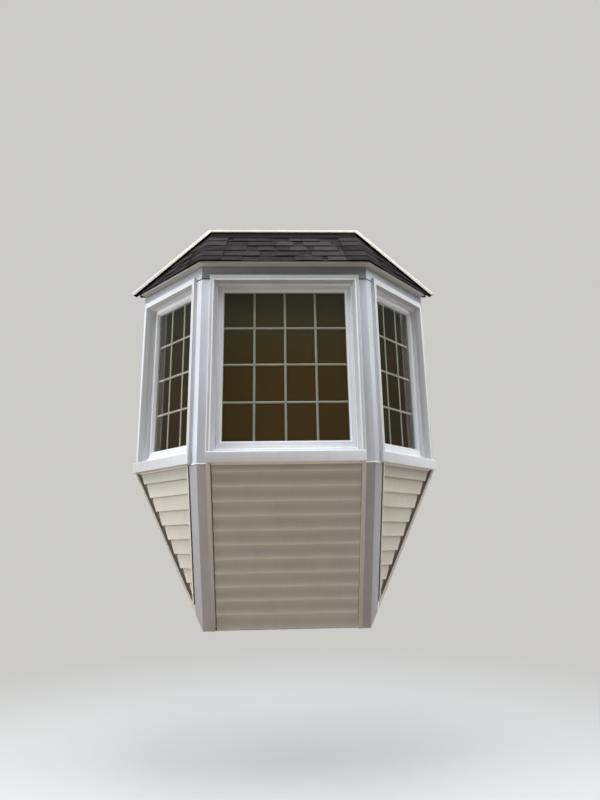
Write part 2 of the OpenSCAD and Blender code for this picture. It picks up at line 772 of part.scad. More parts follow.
shingles_front();
shingles_left();
shingles_right();
hip_cap_left();
hip_cap_right();
top_flashing();
rake_channels();
roof_deck_front();
roof_deck_left();
roof_deck_right();
fascia();
soffit();
frieze_front();
frieze_left();
frieze_right();
roof_ledger();
rafters();
head_board();
seat_board();
corner_post_left();
corner_post_right();
mullion_posts();
wall_jambs();
wall_trims();
at_center() window_frame(center_open);  // window_frame_center
to_left() at_right() window_frame(flank_open);  // window_frame_left
at_right() window_frame(flank_open);  // window_frame_right
at_center() glass(center_open);  // glass_center
to_left() at_right() glass(flank_open);  // glass_left
at_right() glass(flank_open);  // glass_right
at_center() casing(center_open);  // casing_center
to_left() at_right() casing(flank_open);  // casing_left
at_right() casing(flank_open);  // casing_right
at_center() sill(center_open, 0);  // sill_center
to_left() at_right() sill(flank_open, sill_ear);  // sill_left
at_right() sill(flank_open, sill_ear);  // sill_right
skirt_panel_front();
skirt_panel_left();
skirt_panel_right();
skirt_post_left();
skirt_post_right();
skirt_channels();
wall_ledger();
seat_joists();
skirt_studs();
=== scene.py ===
# %% [markdown]
# A bay window: three fixed windows in an angled box, under a small shingled roof and over a skirt of
# lap siding. The frame brings every piece at its real size. This script gives the
# surfaces their finish and adds what is too fine for the construction model: shingle tabs, siding
# courses, the grille between the panes, sealant and edge roundings.

# %% Load the frame
import json
import math
import random

import bmesh
import bpy
from mathutils import Matrix, Vector, noise


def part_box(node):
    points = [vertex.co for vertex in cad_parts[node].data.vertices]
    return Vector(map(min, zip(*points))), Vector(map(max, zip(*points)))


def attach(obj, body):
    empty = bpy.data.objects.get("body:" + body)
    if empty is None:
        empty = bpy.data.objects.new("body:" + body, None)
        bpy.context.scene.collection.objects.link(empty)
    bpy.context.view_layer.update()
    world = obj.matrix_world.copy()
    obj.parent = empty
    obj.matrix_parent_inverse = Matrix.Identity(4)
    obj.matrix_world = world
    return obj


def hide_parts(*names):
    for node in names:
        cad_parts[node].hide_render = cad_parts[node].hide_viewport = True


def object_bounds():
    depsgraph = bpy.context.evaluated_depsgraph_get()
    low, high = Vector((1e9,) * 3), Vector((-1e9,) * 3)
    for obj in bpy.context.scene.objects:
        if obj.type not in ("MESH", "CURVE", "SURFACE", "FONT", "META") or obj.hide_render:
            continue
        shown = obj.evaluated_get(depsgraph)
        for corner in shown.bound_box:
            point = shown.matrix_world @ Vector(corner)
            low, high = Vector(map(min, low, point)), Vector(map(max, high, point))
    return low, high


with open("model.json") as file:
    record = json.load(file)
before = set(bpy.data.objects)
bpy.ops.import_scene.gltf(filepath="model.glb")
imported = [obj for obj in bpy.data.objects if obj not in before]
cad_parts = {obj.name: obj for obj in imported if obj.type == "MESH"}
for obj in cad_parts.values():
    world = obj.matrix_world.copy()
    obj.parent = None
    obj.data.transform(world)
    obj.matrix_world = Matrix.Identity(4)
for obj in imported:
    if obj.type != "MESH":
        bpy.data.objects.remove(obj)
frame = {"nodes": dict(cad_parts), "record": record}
cad_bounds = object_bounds()
nodes = frame["nodes"]
slots = {row["node"]: row["material_slot"] for row in frame["record"]["subparts"]}
SIDES = {"left": -1, "right": 1}
print("nodes:", len(nodes), "bounds:", cad_bounds)

# %% [markdown]
# The camera stands lower than the windows and looks up at them. It is placed by its position and
# three turns: yaw about the vertical, pitch up, and roll about its own axis. The matrix is built
# from those turns, so that each one can be changed by itself.

# %% Camera
CAMERA_PLACE = Vector((-0.0328, -4.0277, -0.410))
CAMERA_YAW = 0.0362
CAMERA_PITCH = 0.2495
CAMERA_ROLL = -0.0165
CAMERA_LENS = 24.48
SENSOR_WIDTH = 36


def camera_matrix(place, yaw, pitch, roll):
    forward = Vector((math.sin(yaw) * math.cos(pitch), math.cos(yaw) * math.cos(pitch), math.sin(pitch)))
    level = Vector((math.cos(yaw), -math.sin(yaw), 0))
    upright = level.cross(forward)
    right = math.cos(roll) * level + math.sin(roll) * upright
    up = math.cos(roll) * upright - math.sin(roll) * level
    turn = Matrix((right, up, -forward)).transposed()
    return Matrix.Translation(place) @ turn.to_4x4()


lens = bpy.data.cameras.new("camera")
lens.lens = CAMERA_LENS
lens.sensor_width = SENSOR_WIDTH
camera = bpy.data.objects.new("camera", lens)
bpy.context.scene.collection.objects.link(camera)
camera.matrix_world = camera_matrix(CAMERA_PLACE, CAMERA_YAW, CAMERA_PITCH, CAMERA_ROLL)
bpy.context.scene.camera = camera
bpy.context.scene.view_settings.view_transform = "Standard"
print("camera at", tuple(camera.location))

# %% [markdown]
# Node trees are written with one small helper: it adds a node, sets its options, and fills each
# input with a value or with a link to another node's output. Shaders, the world and Geometry Nodes
# all use it, so a tree reads as a list of steps.

# %% Node helper


def add(tree, kind, inputs=None, **options):
    node = tree.nodes.new(kind)
    for key, value in options.items():
        setattr(node, key, value)
    for key, value in (inputs or {}).items():
        if isinstance(value, bpy.types.NodeSocket):
            tree.links.new(value, node.inputs[key])
        else:
            node.inputs[key].default_value = value
    return node


def math_node(tree, operation, a, b=0.0, clamp=False):
    return add(tree, "ShaderNodeMath", {0: a, 1: b}, operation=operation, use_clamp=clamp).outputs[0]


def blend(tree, factor, a, b, kind="MIX"):
    node = add(tree, "ShaderNodeMix", data_type="RGBA", blend_type=kind)
    for socket, value in (("Factor_Float", factor), ("A_Color", a), ("B_Color", b)):
        target = next(s for s in node.inputs if s.identifier == socket)
        if isinstance(value, bpy.types.NodeSocket):
            tree.links.new(value, target)
        else:
            target.default_value = value
    return next(s for s in node.outputs if s.identifier == "Result_Color")


def new_group(name, kind, inputs, outputs):
    tree = bpy.data.node_groups.new(name, kind)
    for label, socket, value in inputs:
        made = tree.interface.new_socket(label, in_out="INPUT", socket_type=socket)
        if value is not None:
            made.default_value = value
    for label, socket in outputs:
        tree.interface.new_socket(label, in_out="OUTPUT", socket_type=socket)
    return tree, tree.nodes.new("NodeGroupInput").outputs, tree.nodes.new("NodeGroupOutput").inputs


print("node helpers ready")

# %% [markdown]
# The light is that of an overcast day, made in a studio: soft lamps at both sides, above them and
# overhead. Large discs give soft shadows. The side lamps are a little bluer and differ in strength,
# so that the left and the right of the bay don't look alike.

# %% Lamps
SIDE_LIGHT = (0.94, 0.97, 1)
DAYLIGHT = (0.97, 0.985, 1)
# Each lamp has a place, the point it looks at, a diameter, its watts and its colour.
LAMPS = {
    "light_left": ((-5.2, -1.4, 1.4), (-0.5, -0.3, 0.4), 2.6, 145, SIDE_LIGHT),
    "light_right": ((5.2, -1.0, 1.9), (0.5, -0.3, 0.4), 2.6, 85, SIDE_LIGHT),
    "light_high_left": ((-3.4, -1.9, 4.8), (-0.4, -0.3, 0.5), 2.6, 115, DAYLIGHT),
    "light_high_right": ((3.4, -1.9, 4.8), (0.4, -0.3, 0.5), 2.6, 100, DAYLIGHT),
    "light_top": ((0, -1.9, 6.2), (0, -0.3, 0.5), 3.0, 170, DAYLIGHT),
}


def area_light(name, place, target, size, watts, colour):
    data = bpy.data.lights.new(name, "AREA")
    data.shape = "DISK"
    data.size = size
    data.energy = watts
    data.color = colour
    lamp = bpy.data.objects.new(name, data)
    bpy.context.scene.collection.objects.link(lamp)
    aim = (Vector(target) - Vector(place)).to_track_quat("-Z", "Y")
    lamp.matrix_world = Matrix.Translation(place) @ aim.to_matrix().to_4x4()


for name, settings in LAMPS.items():
    area_light(name, *settings)
print("lamps:", len(LAMPS))

# %% [markdown]
# A dome lights the rest: bright overhead and dim at the horizon, as under thick cloud. The camera
# sees a plain pale background instead, because Light Path tells its rays from all the others.

# %% Dome
BACKGROUND = (0.60, 0.595, 0.575, 1)
ZENITH = (1.22, 1.27, 1.36, 1)
HORIZON = (0.04, 0.04, 0.037, 1)
CLOUD_FOOT = 0.35
CLOUD_HEAD = 0.95

world = bpy.data.worlds.new("world")
bpy.context.scene.world = world
world.use_nodes = True
sky = world.node_tree
sky.nodes.clear()
direction = add(sky, "ShaderNodeTexCoord").outputs["Generated"]
height = add(sky, "ShaderNodeSeparateXYZ", {0: direction}).outputs["Z"]
lift = add(sky, "ShaderNodeMapRange", {0: height, 1: CLOUD_FOOT, 2: CLOUD_HEAD},
           interpolation_type="SMOOTHSTEP")
dome = add(sky, "ShaderNodeBackground", {"Color": blend(sky, lift.outputs[0], HORIZON, ZENITH)})
shown = add(sky, "ShaderNodeBackground", {"Color": BACKGROUND})
seen = add(sky, "ShaderNodeLightPath").outputs["Is Camera Ray"]
both = add(sky, "ShaderNodeMixShader", {0: seen, 1: dome.outputs[0], 2: shown.outputs[0]})
add(sky, "ShaderNodeOutputWorld", {"Surface": both.outputs[0]})
print("dome from", HORIZON[:3], "to", ZENITH[:3])

# %% [markdown]
# The floor lies well below the bay and fades into the background. It is pale to the camera. To every
# other ray it is a darker and warmer surface, so that the undersides get a weak warm light.

# %% Floor
FLOOR_DROP = 1.0
FLOOR_HALF = 40.0
FADE_START = 2.0
FADE_END = 5.5
WARM_BOUNCE = (0.41, 0.36, 0.30, 1)


def floor_material():
    material = bpy.data.materials.new("floor_paint")
    material.use_nodes = True
    tree = material.node_tree
    tree.nodes.clear()
    place = add(tree, "ShaderNodeTexCoord").outputs["Object"]
    reach = add(tree, "ShaderNodeVectorMath", {0: place}, operation="LENGTH").outputs["Value"]
    far = add(tree, "ShaderNodeMapRange", {0: reach, 1: FADE_START, 2: FADE_END},
              interpolation_type="SMOOTHSTEP")
    pale = add(tree, "ShaderNodeBsdfDiffuse", {"Color": BACKGROUND})
    plain = add(tree, "ShaderNodeEmission", {"Color": BACKGROUND})
    view = add(tree, "ShaderNodeMixShader", {0: far.outputs[0], 1: pale.outputs[0], 2: plain.outputs[0]})
    bounce = add(tree, "ShaderNodeBsdfDiffuse", {"Color": WARM_BOUNCE})
    seen = add(tree, "ShaderNodeLightPath").outputs["Is Camera Ray"]
    both = add(tree, "ShaderNodeMixShader", {0: seen, 1: bounce.outputs[0], 2: view.outputs[0]})
    add(tree, "ShaderNodeOutputMaterial", {"Surface": both.outputs[0]})
    return material


floor_z = cad_bounds[0].z - FLOOR_DROP
floor_mesh = bpy.data.meshes.new("floor")
corners = [(-1, -1), (1, -1), (1, 1), (-1, 1)]
floor_mesh.from_pydata([(x * FLOOR_HALF, y * FLOOR_HALF, 0) for x, y in corners], [], [(0, 1, 2, 3)])
floor_mesh.materials.append(floor_material())
floor = bpy.data.objects.new("floor", floor_mesh)
floor.location = (0, 0, floor_z)
bpy.context.scene.collection.objects.link(floor)
print("floor at z =", round(floor_z, 3))

# %% [markdown]
# Every finish is built from a few shared node groups, which put out colours, roughness and height
# only. They share three small helpers: noise that is stretched along some axes, a value that is
# mapped from one range to another, and a colour that is darkened by painted shade. A mesh attribute
# named "shade" says where and how much shade is painted.

# %% Helpers for the shader groups
FLOAT = "NodeSocketFloat"
COLOUR = "NodeSocketColor"
VECTOR = "NodeSocketVector"
SHADER = "ShaderNodeTree"
PAINTED_SHADE_COLOUR = (0.006, 0.0055, 0.005, 1)
EVEN = (1, 1, 1)


def stretched_noise(tree, vector, stretch, scale, detail=4.0, rough=0.55):
    point = add(tree, "ShaderNodeVectorMath", {0: vector, 1: stretch}, operation="MULTIPLY").outputs[0]
    settings = {"Vector": point, "Scale": scale, "Detail": detail, "Roughness": rough}
    return add(tree, "ShaderNodeTexNoise", settings).outputs[0]


def ranged(tree, value, low, high, to_low=0.0, to_high=1.0):
    return add(tree, "ShaderNodeMapRange", {0: value, 1: low, 2: high, 3: to_low, 4: to_high}).outputs[0]


# Painted shade: blends a colour towards near black by the mesh's "shade" attribute.
def darkened(tree, colour):
    shade = add(tree, "ShaderNodeAttribute", attribute_name="shade").outputs["Fac"]
    return blend(tree, shade, colour, PAINTED_SHADE_COLOUR)


print("soot colour:", PAINTED_SHADE_COLOUR[:3])

# %% [markdown]
# Vinyl and coated trim are smooth sheets. Out of doors they get soft patches of grime, vertical
# rain streaks and fine specks, and the sheet itself is slightly wavy and embossed. One group makes
# all of it on Object coordinates, and its inputs say how much of each.

# %% Coating group
PATCH_SCALE = 3.5
STREAK_STRETCH = (26, 26, 1.2)
SPECK_SCALE = 260
WAVE_SCALE = 5.0
EMBOSS_STRETCH = (14, 14, 170)


def coating_group():
    tree, given, made = new_group("coating", SHADER, [
        ("Color", COLOUR, (0.7, 0.7, 0.7, 1)), ("Grime Color", COLOUR, (0.3, 0.27, 0.22, 1)),
        ("Grime", FLOAT, 0.2), ("Streaks", FLOAT, 0.2), ("Roughness", FLOAT, 0.4),
        ("Wave", FLOAT, 0.3), ("Emboss", FLOAT, 0.2),
    ], [("Color", COLOUR), ("Roughness", FLOAT), ("Height", FLOAT)])
    place = add(tree, "ShaderNodeTexCoord").outputs["Object"]
    patches = ranged(tree, stretched_noise(tree, place, EVEN, PATCH_SCALE, 6), 0.45, 0.8)
    streaks = ranged(tree, stretched_noise(tree, place, STREAK_STRETCH, 1.0, 5), 0.5, 0.85)
    specks = ranged(tree, stretched_noise(tree, place, EVEN, SPECK_SCALE, 2), 0.68, 0.74)
    grime = math_node(tree, "MULTIPLY", patches, given["Grime"])
    rain = math_node(tree, "MULTIPLY", streaks, given["Streaks"])
    fine = math_node(tree, "MULTIPLY", specks, math_node(tree, "MULTIPLY", given["Grime"], 0.8))
    dirt = math_node(tree, "ADD", math_node(tree, "ADD", grime, rain), fine, clamp=True)
    soiled = blend(tree, dirt, given["Color"], given["Grime Color"])
    # Painted shade from the "shade" attribute darkens the soiled colour.
    tree.links.new(darkened(tree, soiled), made["Color"])
    dull = math_node(tree, "MULTIPLY_ADD", dirt, 0.3)
    tree.links.new(given["Roughness"], dull.node.inputs[2])
    tree.links.new(dull, made["Roughness"])
    wave = stretched_noise(tree, place, EVEN, WAVE_SCALE, 1)
    emboss = stretched_noise(tree, place, EMBOSS_STRETCH, 1.0, 5, 0.6)
    high = math_node(tree, "ADD", math_node(tree, "MULTIPLY", wave, given["Wave"]),
                     math_node(tree, "MULTIPLY", emboss, given["Emboss"]))
    tree.links.new(high, made["Height"])
    return tree


COATING = coating_group()
print("group:", COATING.name)

# %% [markdown]
# Asphalt shingles are covered with coloured stone chips of about a millimetre and a half. A Voronoi
# texture gives every chip its own tone and a rounded top. "Tone" shifts a whole tab, and
# "Edge" is 1 where the cut edge shows bare black asphalt, and also where a painted
# shadow line lies.

# %% Granule group
CHIP_SCALE = 620
CLOUD_SCALE = 14
ASPHALT = (0.003, 0.003, 0.003, 1)


def granule_group():
    tree, given, made = new_group("granules", SHADER, [
        ("Dark", COLOUR, (0.02, 0.02, 0.02, 1)), ("Light", COLOUR, (0.1, 0.1, 0.1, 1)),
        ("Tone", FLOAT, 0.5), ("Edge", FLOAT, 0.0),
    ], [("Color", COLOUR), ("Height", FLOAT)])
    place = add(tree, "ShaderNodeTexCoord").outputs["Object"]
    chips = add(tree, "ShaderNodeTexVoronoi", {"Vector": place, "Scale": CHIP_SCALE})
    shade = add(tree, "ShaderNodeSeparateColor", {0: chips.outputs["Color"]}).outputs[0]
    clouds = ranged(tree, stretched_noise(tree, place, EVEN, CLOUD_SCALE, 4), 0.3, 0.7, -0.18, 0.18)
    mixed = math_node(tree, "ADD", math_node(tree, "MULTIPLY", shade, 0.55), clouds)
    level = math_node(tree, "ADD", mixed, math_node(tree, "MULTIPLY", given["Tone"], 0.6), clamp=True)
    stone = blend(tree, level, given["Dark"], given["Light"])
    tree.links.new(blend(tree, given["Edge"], stone, ASPHALT), made["Color"])
    tree.links.new(math_node(tree, "SUBTRACT", 1.0, chips.outputs["Distance"]), made["Height"])
    return tree


GRANULES = granule_group()
print("group:", GRANULES.name)

# %% [markdown]
# Sawn wood shows growth rings, cut lengthwise, so they run as long bows along the board. A sine of
# the distance from the heart draws them, slow noise bends them, and fine stretched noise adds the
# fibres. The group reads a "Vector" whose x runs along the board, whichever way the board lies.

# %% Wood group
BOW = 4.0
WARP = 0.09
WARP_STRETCH = (0.6, 5, 5)
FIBRE_STRETCH = (5, 320, 320)
FULL_TURN = 6.283
STAIN_STRETCH = (1.2, 9, 9)


def wood_group():
    tree, given, made = new_group("wood", SHADER, [
        ("Vector", VECTOR, None), ("Early", COLOUR, (0.6, 0.42, 0.25, 1)),
        ("Late", COLOUR, (0.35, 0.2, 0.1, 1)), ("Rings", FLOAT, 60.0), ("Contrast", FLOAT, 0.6),
    ], [("Color", COLOUR), ("Roughness", FLOAT), ("Height", FLOAT)])
    warp = stretched_noise(tree, given["Vector"], WARP_STRETCH, 1.6, 3)
    across = add(tree, "ShaderNodeSeparateXYZ", {0: given["Vector"]})
    bow = math_node(tree, "POWER", across.outputs["Z"], 2.0)
    radius = math_node(tree, "ADD", across.outputs["Y"], math_node(tree, "MULTIPLY", bow, BOW))
    phase = math_node(tree, "ADD", radius, math_node(tree, "MULTIPLY", warp, WARP))
    turns = math_node(tree, "MULTIPLY", given["Rings"], FULL_TURN)
    wave = math_node(tree, "SINE", math_node(tree, "MULTIPLY", phase, turns))
    rings = math_node(tree, "POWER", ranged(tree, wave, -1, 1), 2.5)
    fibres = stretched_noise(tree, given["Vector"], FIBRE_STRETCH, 1.0, 4)
    stain = ranged(tree, stretched_noise(tree, given["Vector"], STAIN_STRETCH, 1.0, 4), 0.35, 0.75, 0, 0.35)
    mask = math_node(tree, "MULTIPLY", rings, given["Contrast"])
    mask = math_node(tree, "ADD", mask, math_node(tree, "MULTIPLY", fibres, 0.22))
    mask = math_node(tree, "ADD", mask, stain, clamp=True)
    # Painted shade from the "shade" attribute darkens the wood, as at the open eave ends.
    tree.links.new(darkened(tree, blend(tree, mask, given["Early"], given["Late"])), made["Color"])
    tree.links.new(ranged(tree, mask, 0, 1, 0.62, 0.8), made["Roughness"])
    tree.links.new(math_node(tree, "ADD", fibres, math_node(tree, "MULTIPLY", rings, 0.4)), made["Height"])
    return tree


WOOD = wood_group()
print("group:", WOOD.name)

# %% [markdown]
# Each finish is one material. They all start from the Principled shader that a new material brings,
# and all get their relief from a Bump node, because the real textures are far less than a
# millimetre deep.

# %% Material helpers


def shader_material(name):
    material = bpy.data.materials.new(name)
    material.use_nodes = True
    tree = material.node_tree
    return material, tree, tree.nodes["Principled BSDF"]


def use_bump(tree, shader, height, strength, distance):
    bump = add(tree, "ShaderNodeBump", {"Height": height, "Strength": strength, "Distance": distance})
    tree.links.new(bump.outputs[0], shader.inputs["Normal"])


FINISH = {}
print("material helpers ready")

# %% [markdown]
# Vinyl and coated trim share one builder and differ by their numbers. The trim coil is a little
# bluer than the vinyl of the frames, the roof edge is beige, and the skirt's posts are grey, as on
# the real bay, where each came from another supplier. Felt, sealant, roof cement and the painted
# grille are smooth skins too, so the same builder serves.

# %% Vinyl, trim and other smooth skins
BUMP_STRENGTH = 0.6
BUMP_DEPTH = 0.0006


def coated(name, colour, rough, grime=0.12, streaks=0.12, wave=0.3, emboss=0.0,
           dirt=(0.33, 0.30, 0.25), gloss=0.5):
    material, tree, shader = shader_material(name)
    group = add(tree, "ShaderNodeGroup", node_tree=COATING)
    values = {"Color": (*colour, 1), "Grime Color": (*dirt, 1), "Grime": grime, "Streaks": streaks,
              "Roughness": rough, "Wave": wave, "Emboss": emboss}
    for key, value in values.items():
        group.inputs[key].default_value = value
    tree.links.new(group.outputs["Color"], shader.inputs["Base Color"])
    tree.links.new(group.outputs["Roughness"], shader.inputs["Roughness"])
    shader.inputs["Specular IOR Level"].default_value = gloss
    use_bump(tree, shader, group.outputs["Height"], BUMP_STRENGTH, BUMP_DEPTH)
    return material


FINISH["white_vinyl"] = coated("white_vinyl", (0.75, 0.765, 0.79), rough=0.48, grime=0.10, streaks=0.10,
                               wave=0.25, emboss=0.03, gloss=0.3)
FINISH["white_trim"] = coated("white_trim", (0.66, 0.69, 0.75), rough=0.38, grime=0.14, streaks=0.16,
                              wave=0.6, emboss=0.03)
FINISH["beige_trim"] = coated("beige_trim", (0.41, 0.405, 0.385), rough=0.42, grime=0.18, streaks=0.12,
                              wave=0.5, emboss=0.05)
FINISH["grey_trim"] = coated("grey_trim", (0.50, 0.50, 0.53), rough=0.42, grime=0.16, streaks=0.14,
                             wave=0.6, emboss=0.05)
FINISH["cream_vinyl"] = coated("cream_vinyl", (0.80, 0.775, 0.695), rough=0.5, grime=0.20, streaks=0.10,
                               wave=0.4, emboss=0.35, dirt=(0.34, 0.28, 0.20))
FINISH["dark_flashing"] = coated("dark_flashing", (0.008, 0.0075, 0.0075), rough=0.8, grime=0.2,
                                 streaks=0.2, wave=0.4, emboss=0.05, dirt=(0.02, 0.018, 0.017),
                                 gloss=0.04)
# Felt, near black, which also serves as painted shade in the grooves of the skirt.
FINISH["felt"] = coated("building_felt_and_shade", (0.022, 0.02, 0.018), rough=0.9, grime=0.3, streaks=0.1,
                        wave=0.2, gloss=0.1)
FINISH["grille"] = coated("grille_paint", (0.38, 0.365, 0.285), rough=0.4, grime=0.05, streaks=0.03,
                          wave=0.1)
FINISH["spacer"] = coated("spacer_steel", (0.30, 0.31, 0.31), rough=0.3, grime=0.1, streaks=0.0,
                          wave=0.1)
FINISH["sealant"] = coated("sealant", (0.88, 0.89, 0.92), rough=0.5, streaks=0.05, wave=0.2)
# Roof cement, black, which also serves as painted shadow in joints and along the hip caps.
FINISH["cement"] = coated("roof_cement_and_shadow", (0.004, 0.004, 0.004), rough=0.8, grime=0.1, streaks=0.0,
                          wave=0.2, gloss=0.05)
print("smooth skins:", sorted(FINISH))

# %% [markdown]
# A shingle's top is matt stone and its butt edge is bare asphalt, which looks black. The material
# tells them apart by the normal, as the butts look outwards and the tops look up. Under each course
# it also paints a thin dark band on the one below, as painted shadow. As the courses are level, the
# height of a point says where that band falls. Caps over the hips take one tone for each course
# instead of one for each tab.

# %% Shingle material
GRANULE_DARK = (0.005, 0.0045, 0.0045)
GRANULE_LIGHT = (0.060, 0.051, 0.050)
SHADOW_START = 0.86
SHADOW_FULL = 0.91
GRANULE_BUMP = 0.7


def shingle_material(name, first, rise, line, light=1.0, even_tone=False):
    """Granules by tone, black cut edges, and a painted shadow line of this strength under each course."""
    material, tree, shader = shader_material(name)
    facing = add(tree, "ShaderNodeSeparateXYZ", {0: add(tree, "ShaderNodeNewGeometry").outputs["Normal"]})
    edge = ranged(tree, facing.outputs["Z"], 0.5, 0.3)
    tone = add(tree, "ShaderNodeAttribute", attribute_name="tone").outputs["Fac"]
    place = add(tree, "ShaderNodeTexCoord").outputs["Object"]
    level = add(tree, "ShaderNodeSeparateXYZ", {0: place}).outputs["Z"]
    course = math_node(tree, "DIVIDE", math_node(tree, "SUBTRACT", level, first), rise)
    # Painted shadow: a dark band on each course, just under the butt of the course above.
    below = ranged(tree, math_node(tree, "FRACT", course), SHADOW_START, SHADOW_FULL, 0.0, line)
    dark = math_node(tree, "MAXIMUM", edge, below)
    if even_tone:
        number = math_node(tree, "FLOOR", course)
        tone = add(tree, "ShaderNodeTexWhiteNoise", {"W": number}, noise_dimensions="1D").outputs["Value"]
    group = add(tree, "ShaderNodeGroup", {"Tone": tone, "Edge": dark}, node_tree=GRANULES)
    group.inputs["Dark"].default_value = (*GRANULE_DARK, 1)
    group.inputs["Light"].default_value = (*[share * light for share in GRANULE_LIGHT], 1)
    tree.links.new(group.outputs["Color"], shader.inputs["Base Color"])
    shader.inputs["Roughness"].default_value = 0.9
    shader.inputs["Specular IOR Level"].default_value = 0.05
    use_bump(tree, shader, group.outputs["Height"], GRANULE_BUMP, BUMP_DEPTH)
    return material


print("granules from", GRANULE_DARK, "to", GRANULE_LIGHT)

# %% [markdown]
# The boards at head and seat are faced with birch: pale, with wide quiet rings. Rafters, posts and
# joists are sawn softwood: yellower, with narrow rings of strong contrast. Each piece brings its own
# "grain" attribute, so one material fits every stick.

# %% Timber and board finishes
WOOD_BUMP = 0.35
FIBRE_DEPTH = 0.0008


def wood_material(name, early, late, rings, contrast):
    material, tree, shader = shader_material(name)
    grain = add(tree, "ShaderNodeAttribute", attribute_name="grain").outputs["Vector"]
    group = add(tree, "ShaderNodeGroup", {"Vector": grain}, node_tree=WOOD)
    group.inputs["Early"].default_value = (*early, 1)
    group.inputs["Late"].default_value = (*late, 1)
    group.inputs["Rings"].default_value = rings
    group.inputs["Contrast"].default_value = contrast
    tree.links.new(group.outputs["Color"], shader.inputs["Base Color"])
    tree.links.new(group.outputs["Roughness"], shader.inputs["Roughness"])
    use_bump(tree, shader, group.outputs["Height"], WOOD_BUMP, FIBRE_DEPTH)
    return material


FINISH["board_wood"] = wood_material("birch_board", (0.64, 0.46, 0.28), (0.44, 0.28, 0.15), 26, 0.35)
FINISH["timber"] = wood_material("softwood", (0.60, 0.42, 0.22), (0.36, 0.20, 0.09), 90, 0.6)
print("wood finishes: birch board and softwood")

# %% [markdown]
# The panes are real glass to the camera: they reflect and let light through, and a faint ripple
# bends the reflections as in float glass. Shadow and diffuse rays pass a plain transparent shader
# instead, which keeps the light behind the pane clean and quick to work out. Behind each outer pane
# lies a thin dark sheet, painted shade for the unlit room: a warm brown that turns olive and
# lighter towards the head. The side windows get a darker copy.

# %% Glass and tint
GLASS_IOR = 1.5
RIPPLE_SCALE = 2.2
RIPPLE_STRENGTH = 0.12
RIPPLE_DEPTH = 0.0008
ROOM_SHADE_WARM = (0.070, 0.040, 0.008, 1)
ROOM_SHADE_OLIVE = (0.064, 0.058, 0.028, 1)
BLACK = (0, 0, 0, 1)
ROOM_SHADE_FOOT = 0.45
ROOM_SHADE_HEAD = 0.1
# Painted shade: the sheet in the side windows is darker.
SIDE_ROOM_BRIGHTNESS = 0.4


def glass_material():
    material, tree, shader = shader_material("pane_glass")
    shader.inputs["Base Color"].default_value = (0.97, 0.99, 0.98, 1)
    shader.inputs["Roughness"].default_value = 0.0
    shader.inputs["IOR"].default_value = GLASS_IOR
    shader.inputs["Transmission Weight"].default_value = 1.0
    place = add(tree, "ShaderNodeTexCoord").outputs["Object"]
    ripple = stretched_noise(tree, place, EVEN, RIPPLE_SCALE, 1)
    use_bump(tree, shader, ripple, RIPPLE_STRENGTH, RIPPLE_DEPTH)
    path = add(tree, "ShaderNodeLightPath")
    soft = math_node(tree, "MAXIMUM", path.outputs["Is Shadow Ray"], path.outputs["Is Diffuse Ray"])
    clear = add(tree, "ShaderNodeBsdfTransparent", {"Color": (0.93, 0.95, 0.94, 1)})
    both = add(tree, "ShaderNodeMixShader", {0: soft, 1: shader.outputs[0], 2: clear.outputs[0]})
    tree.links.new(both.outputs[0], tree.nodes["Material Output"].inputs["Surface"])
    return material


def room_shade_material(name, low, high, strength):
    """A matt sheet of painted shade for the unlit room, changing from warm to olive between two heights."""
    material, tree, shader = shader_material(name)
    place = add(tree, "ShaderNodeTexCoord").outputs["Object"]
    level = add(tree, "ShaderNodeSeparateXYZ", {0: place}).outputs["Z"]
    cloud = ranged(tree, stretched_noise(tree, place, EVEN, 1.6, 3), 0.3, 0.7, -0.14, 0.14)
    rise = ranged(tree, math_node(tree, "ADD", level, cloud), low, high)
    full = blend(tree, rise, ROOM_SHADE_WARM, ROOM_SHADE_OLIVE)
    tree.links.new(blend(tree, strength, BLACK, full), shader.inputs["Base Color"])
    shader.inputs["Roughness"].default_value = 0.85
    shader.inputs["Specular IOR Level"].default_value = 0.1
    return material


glass_low, glass_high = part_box("glass_center")
room_shade_range = (glass_low.z + ROOM_SHADE_FOOT, glass_high.z - ROOM_SHADE_HEAD)
FINISH["glass"] = glass_material()
FINISH["tint_center"] = room_shade_material("dark_room_shade", *room_shade_range, 1.0)
FINISH["tint_side"] = room_shade_material("dark_room_shade_side", *room_shade_range, SIDE_ROOM_BRIGHTNESS)
print("tint turns olive between", [round(z, 3) for z in room_shade_range])

# %% [markdown]
# Every piece of the visual model is one object at the origin, with its place in its mesh. It rides
# the body of the bay, and the pieces of the frame that it stands for are hidden.

# %% Showing a piece
SLOT_NAMES = set(slots.values())


def show(name, mesh, finish, replaced=(), slot=None):
    obj = bpy.data.objects.new(name, mesh)
    bpy.context.scene.collection.objects.link(obj)
    mesh.materials.clear()
    mesh.materials.append(FINISH[finish])
    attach(obj, "root")
    if replaced:
        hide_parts(*replaced)
    if slot or finish in SLOT_NAMES:
        slot or finish
    return obj


print("slots:", sorted(SLOT_NAMES))

# %% [markdown]
# Real edges are never sharp: a folded sheet has a small radius and a board's arris is eased. A piece
# of the frame is loose triangles, so a copy gets its doubled points merged and its flat faces joined.
# Then a narrow bevel, with the flats' normals kept, gives each edge a line of light.

# %% Rounded edges
FLAT_ANGLE = 0.5
SHARP_ANGLE = 25


def merged(node, keep_triangles=False):
    mesh = bpy.data.meshes.new(node + "_copy")
    bm = bmesh.new()
    bm.from_mesh(nodes[node].data)
    bmesh.ops.remove_doubles(bm, verts=bm.verts, dist=1e-6)
    if not keep_triangles:
        bmesh.ops.dissolve_limit(bm, angle_limit=math.radians(FLAT_ANGLE), verts=bm.verts, edges=bm.edges)
        bmesh.ops.connect_verts_concave(bm, faces=bm.faces)
    bmesh.ops.recalc_face_normals(bm, faces=bm.faces)
    bm.to_mesh(mesh)
    bm.free()
    return mesh


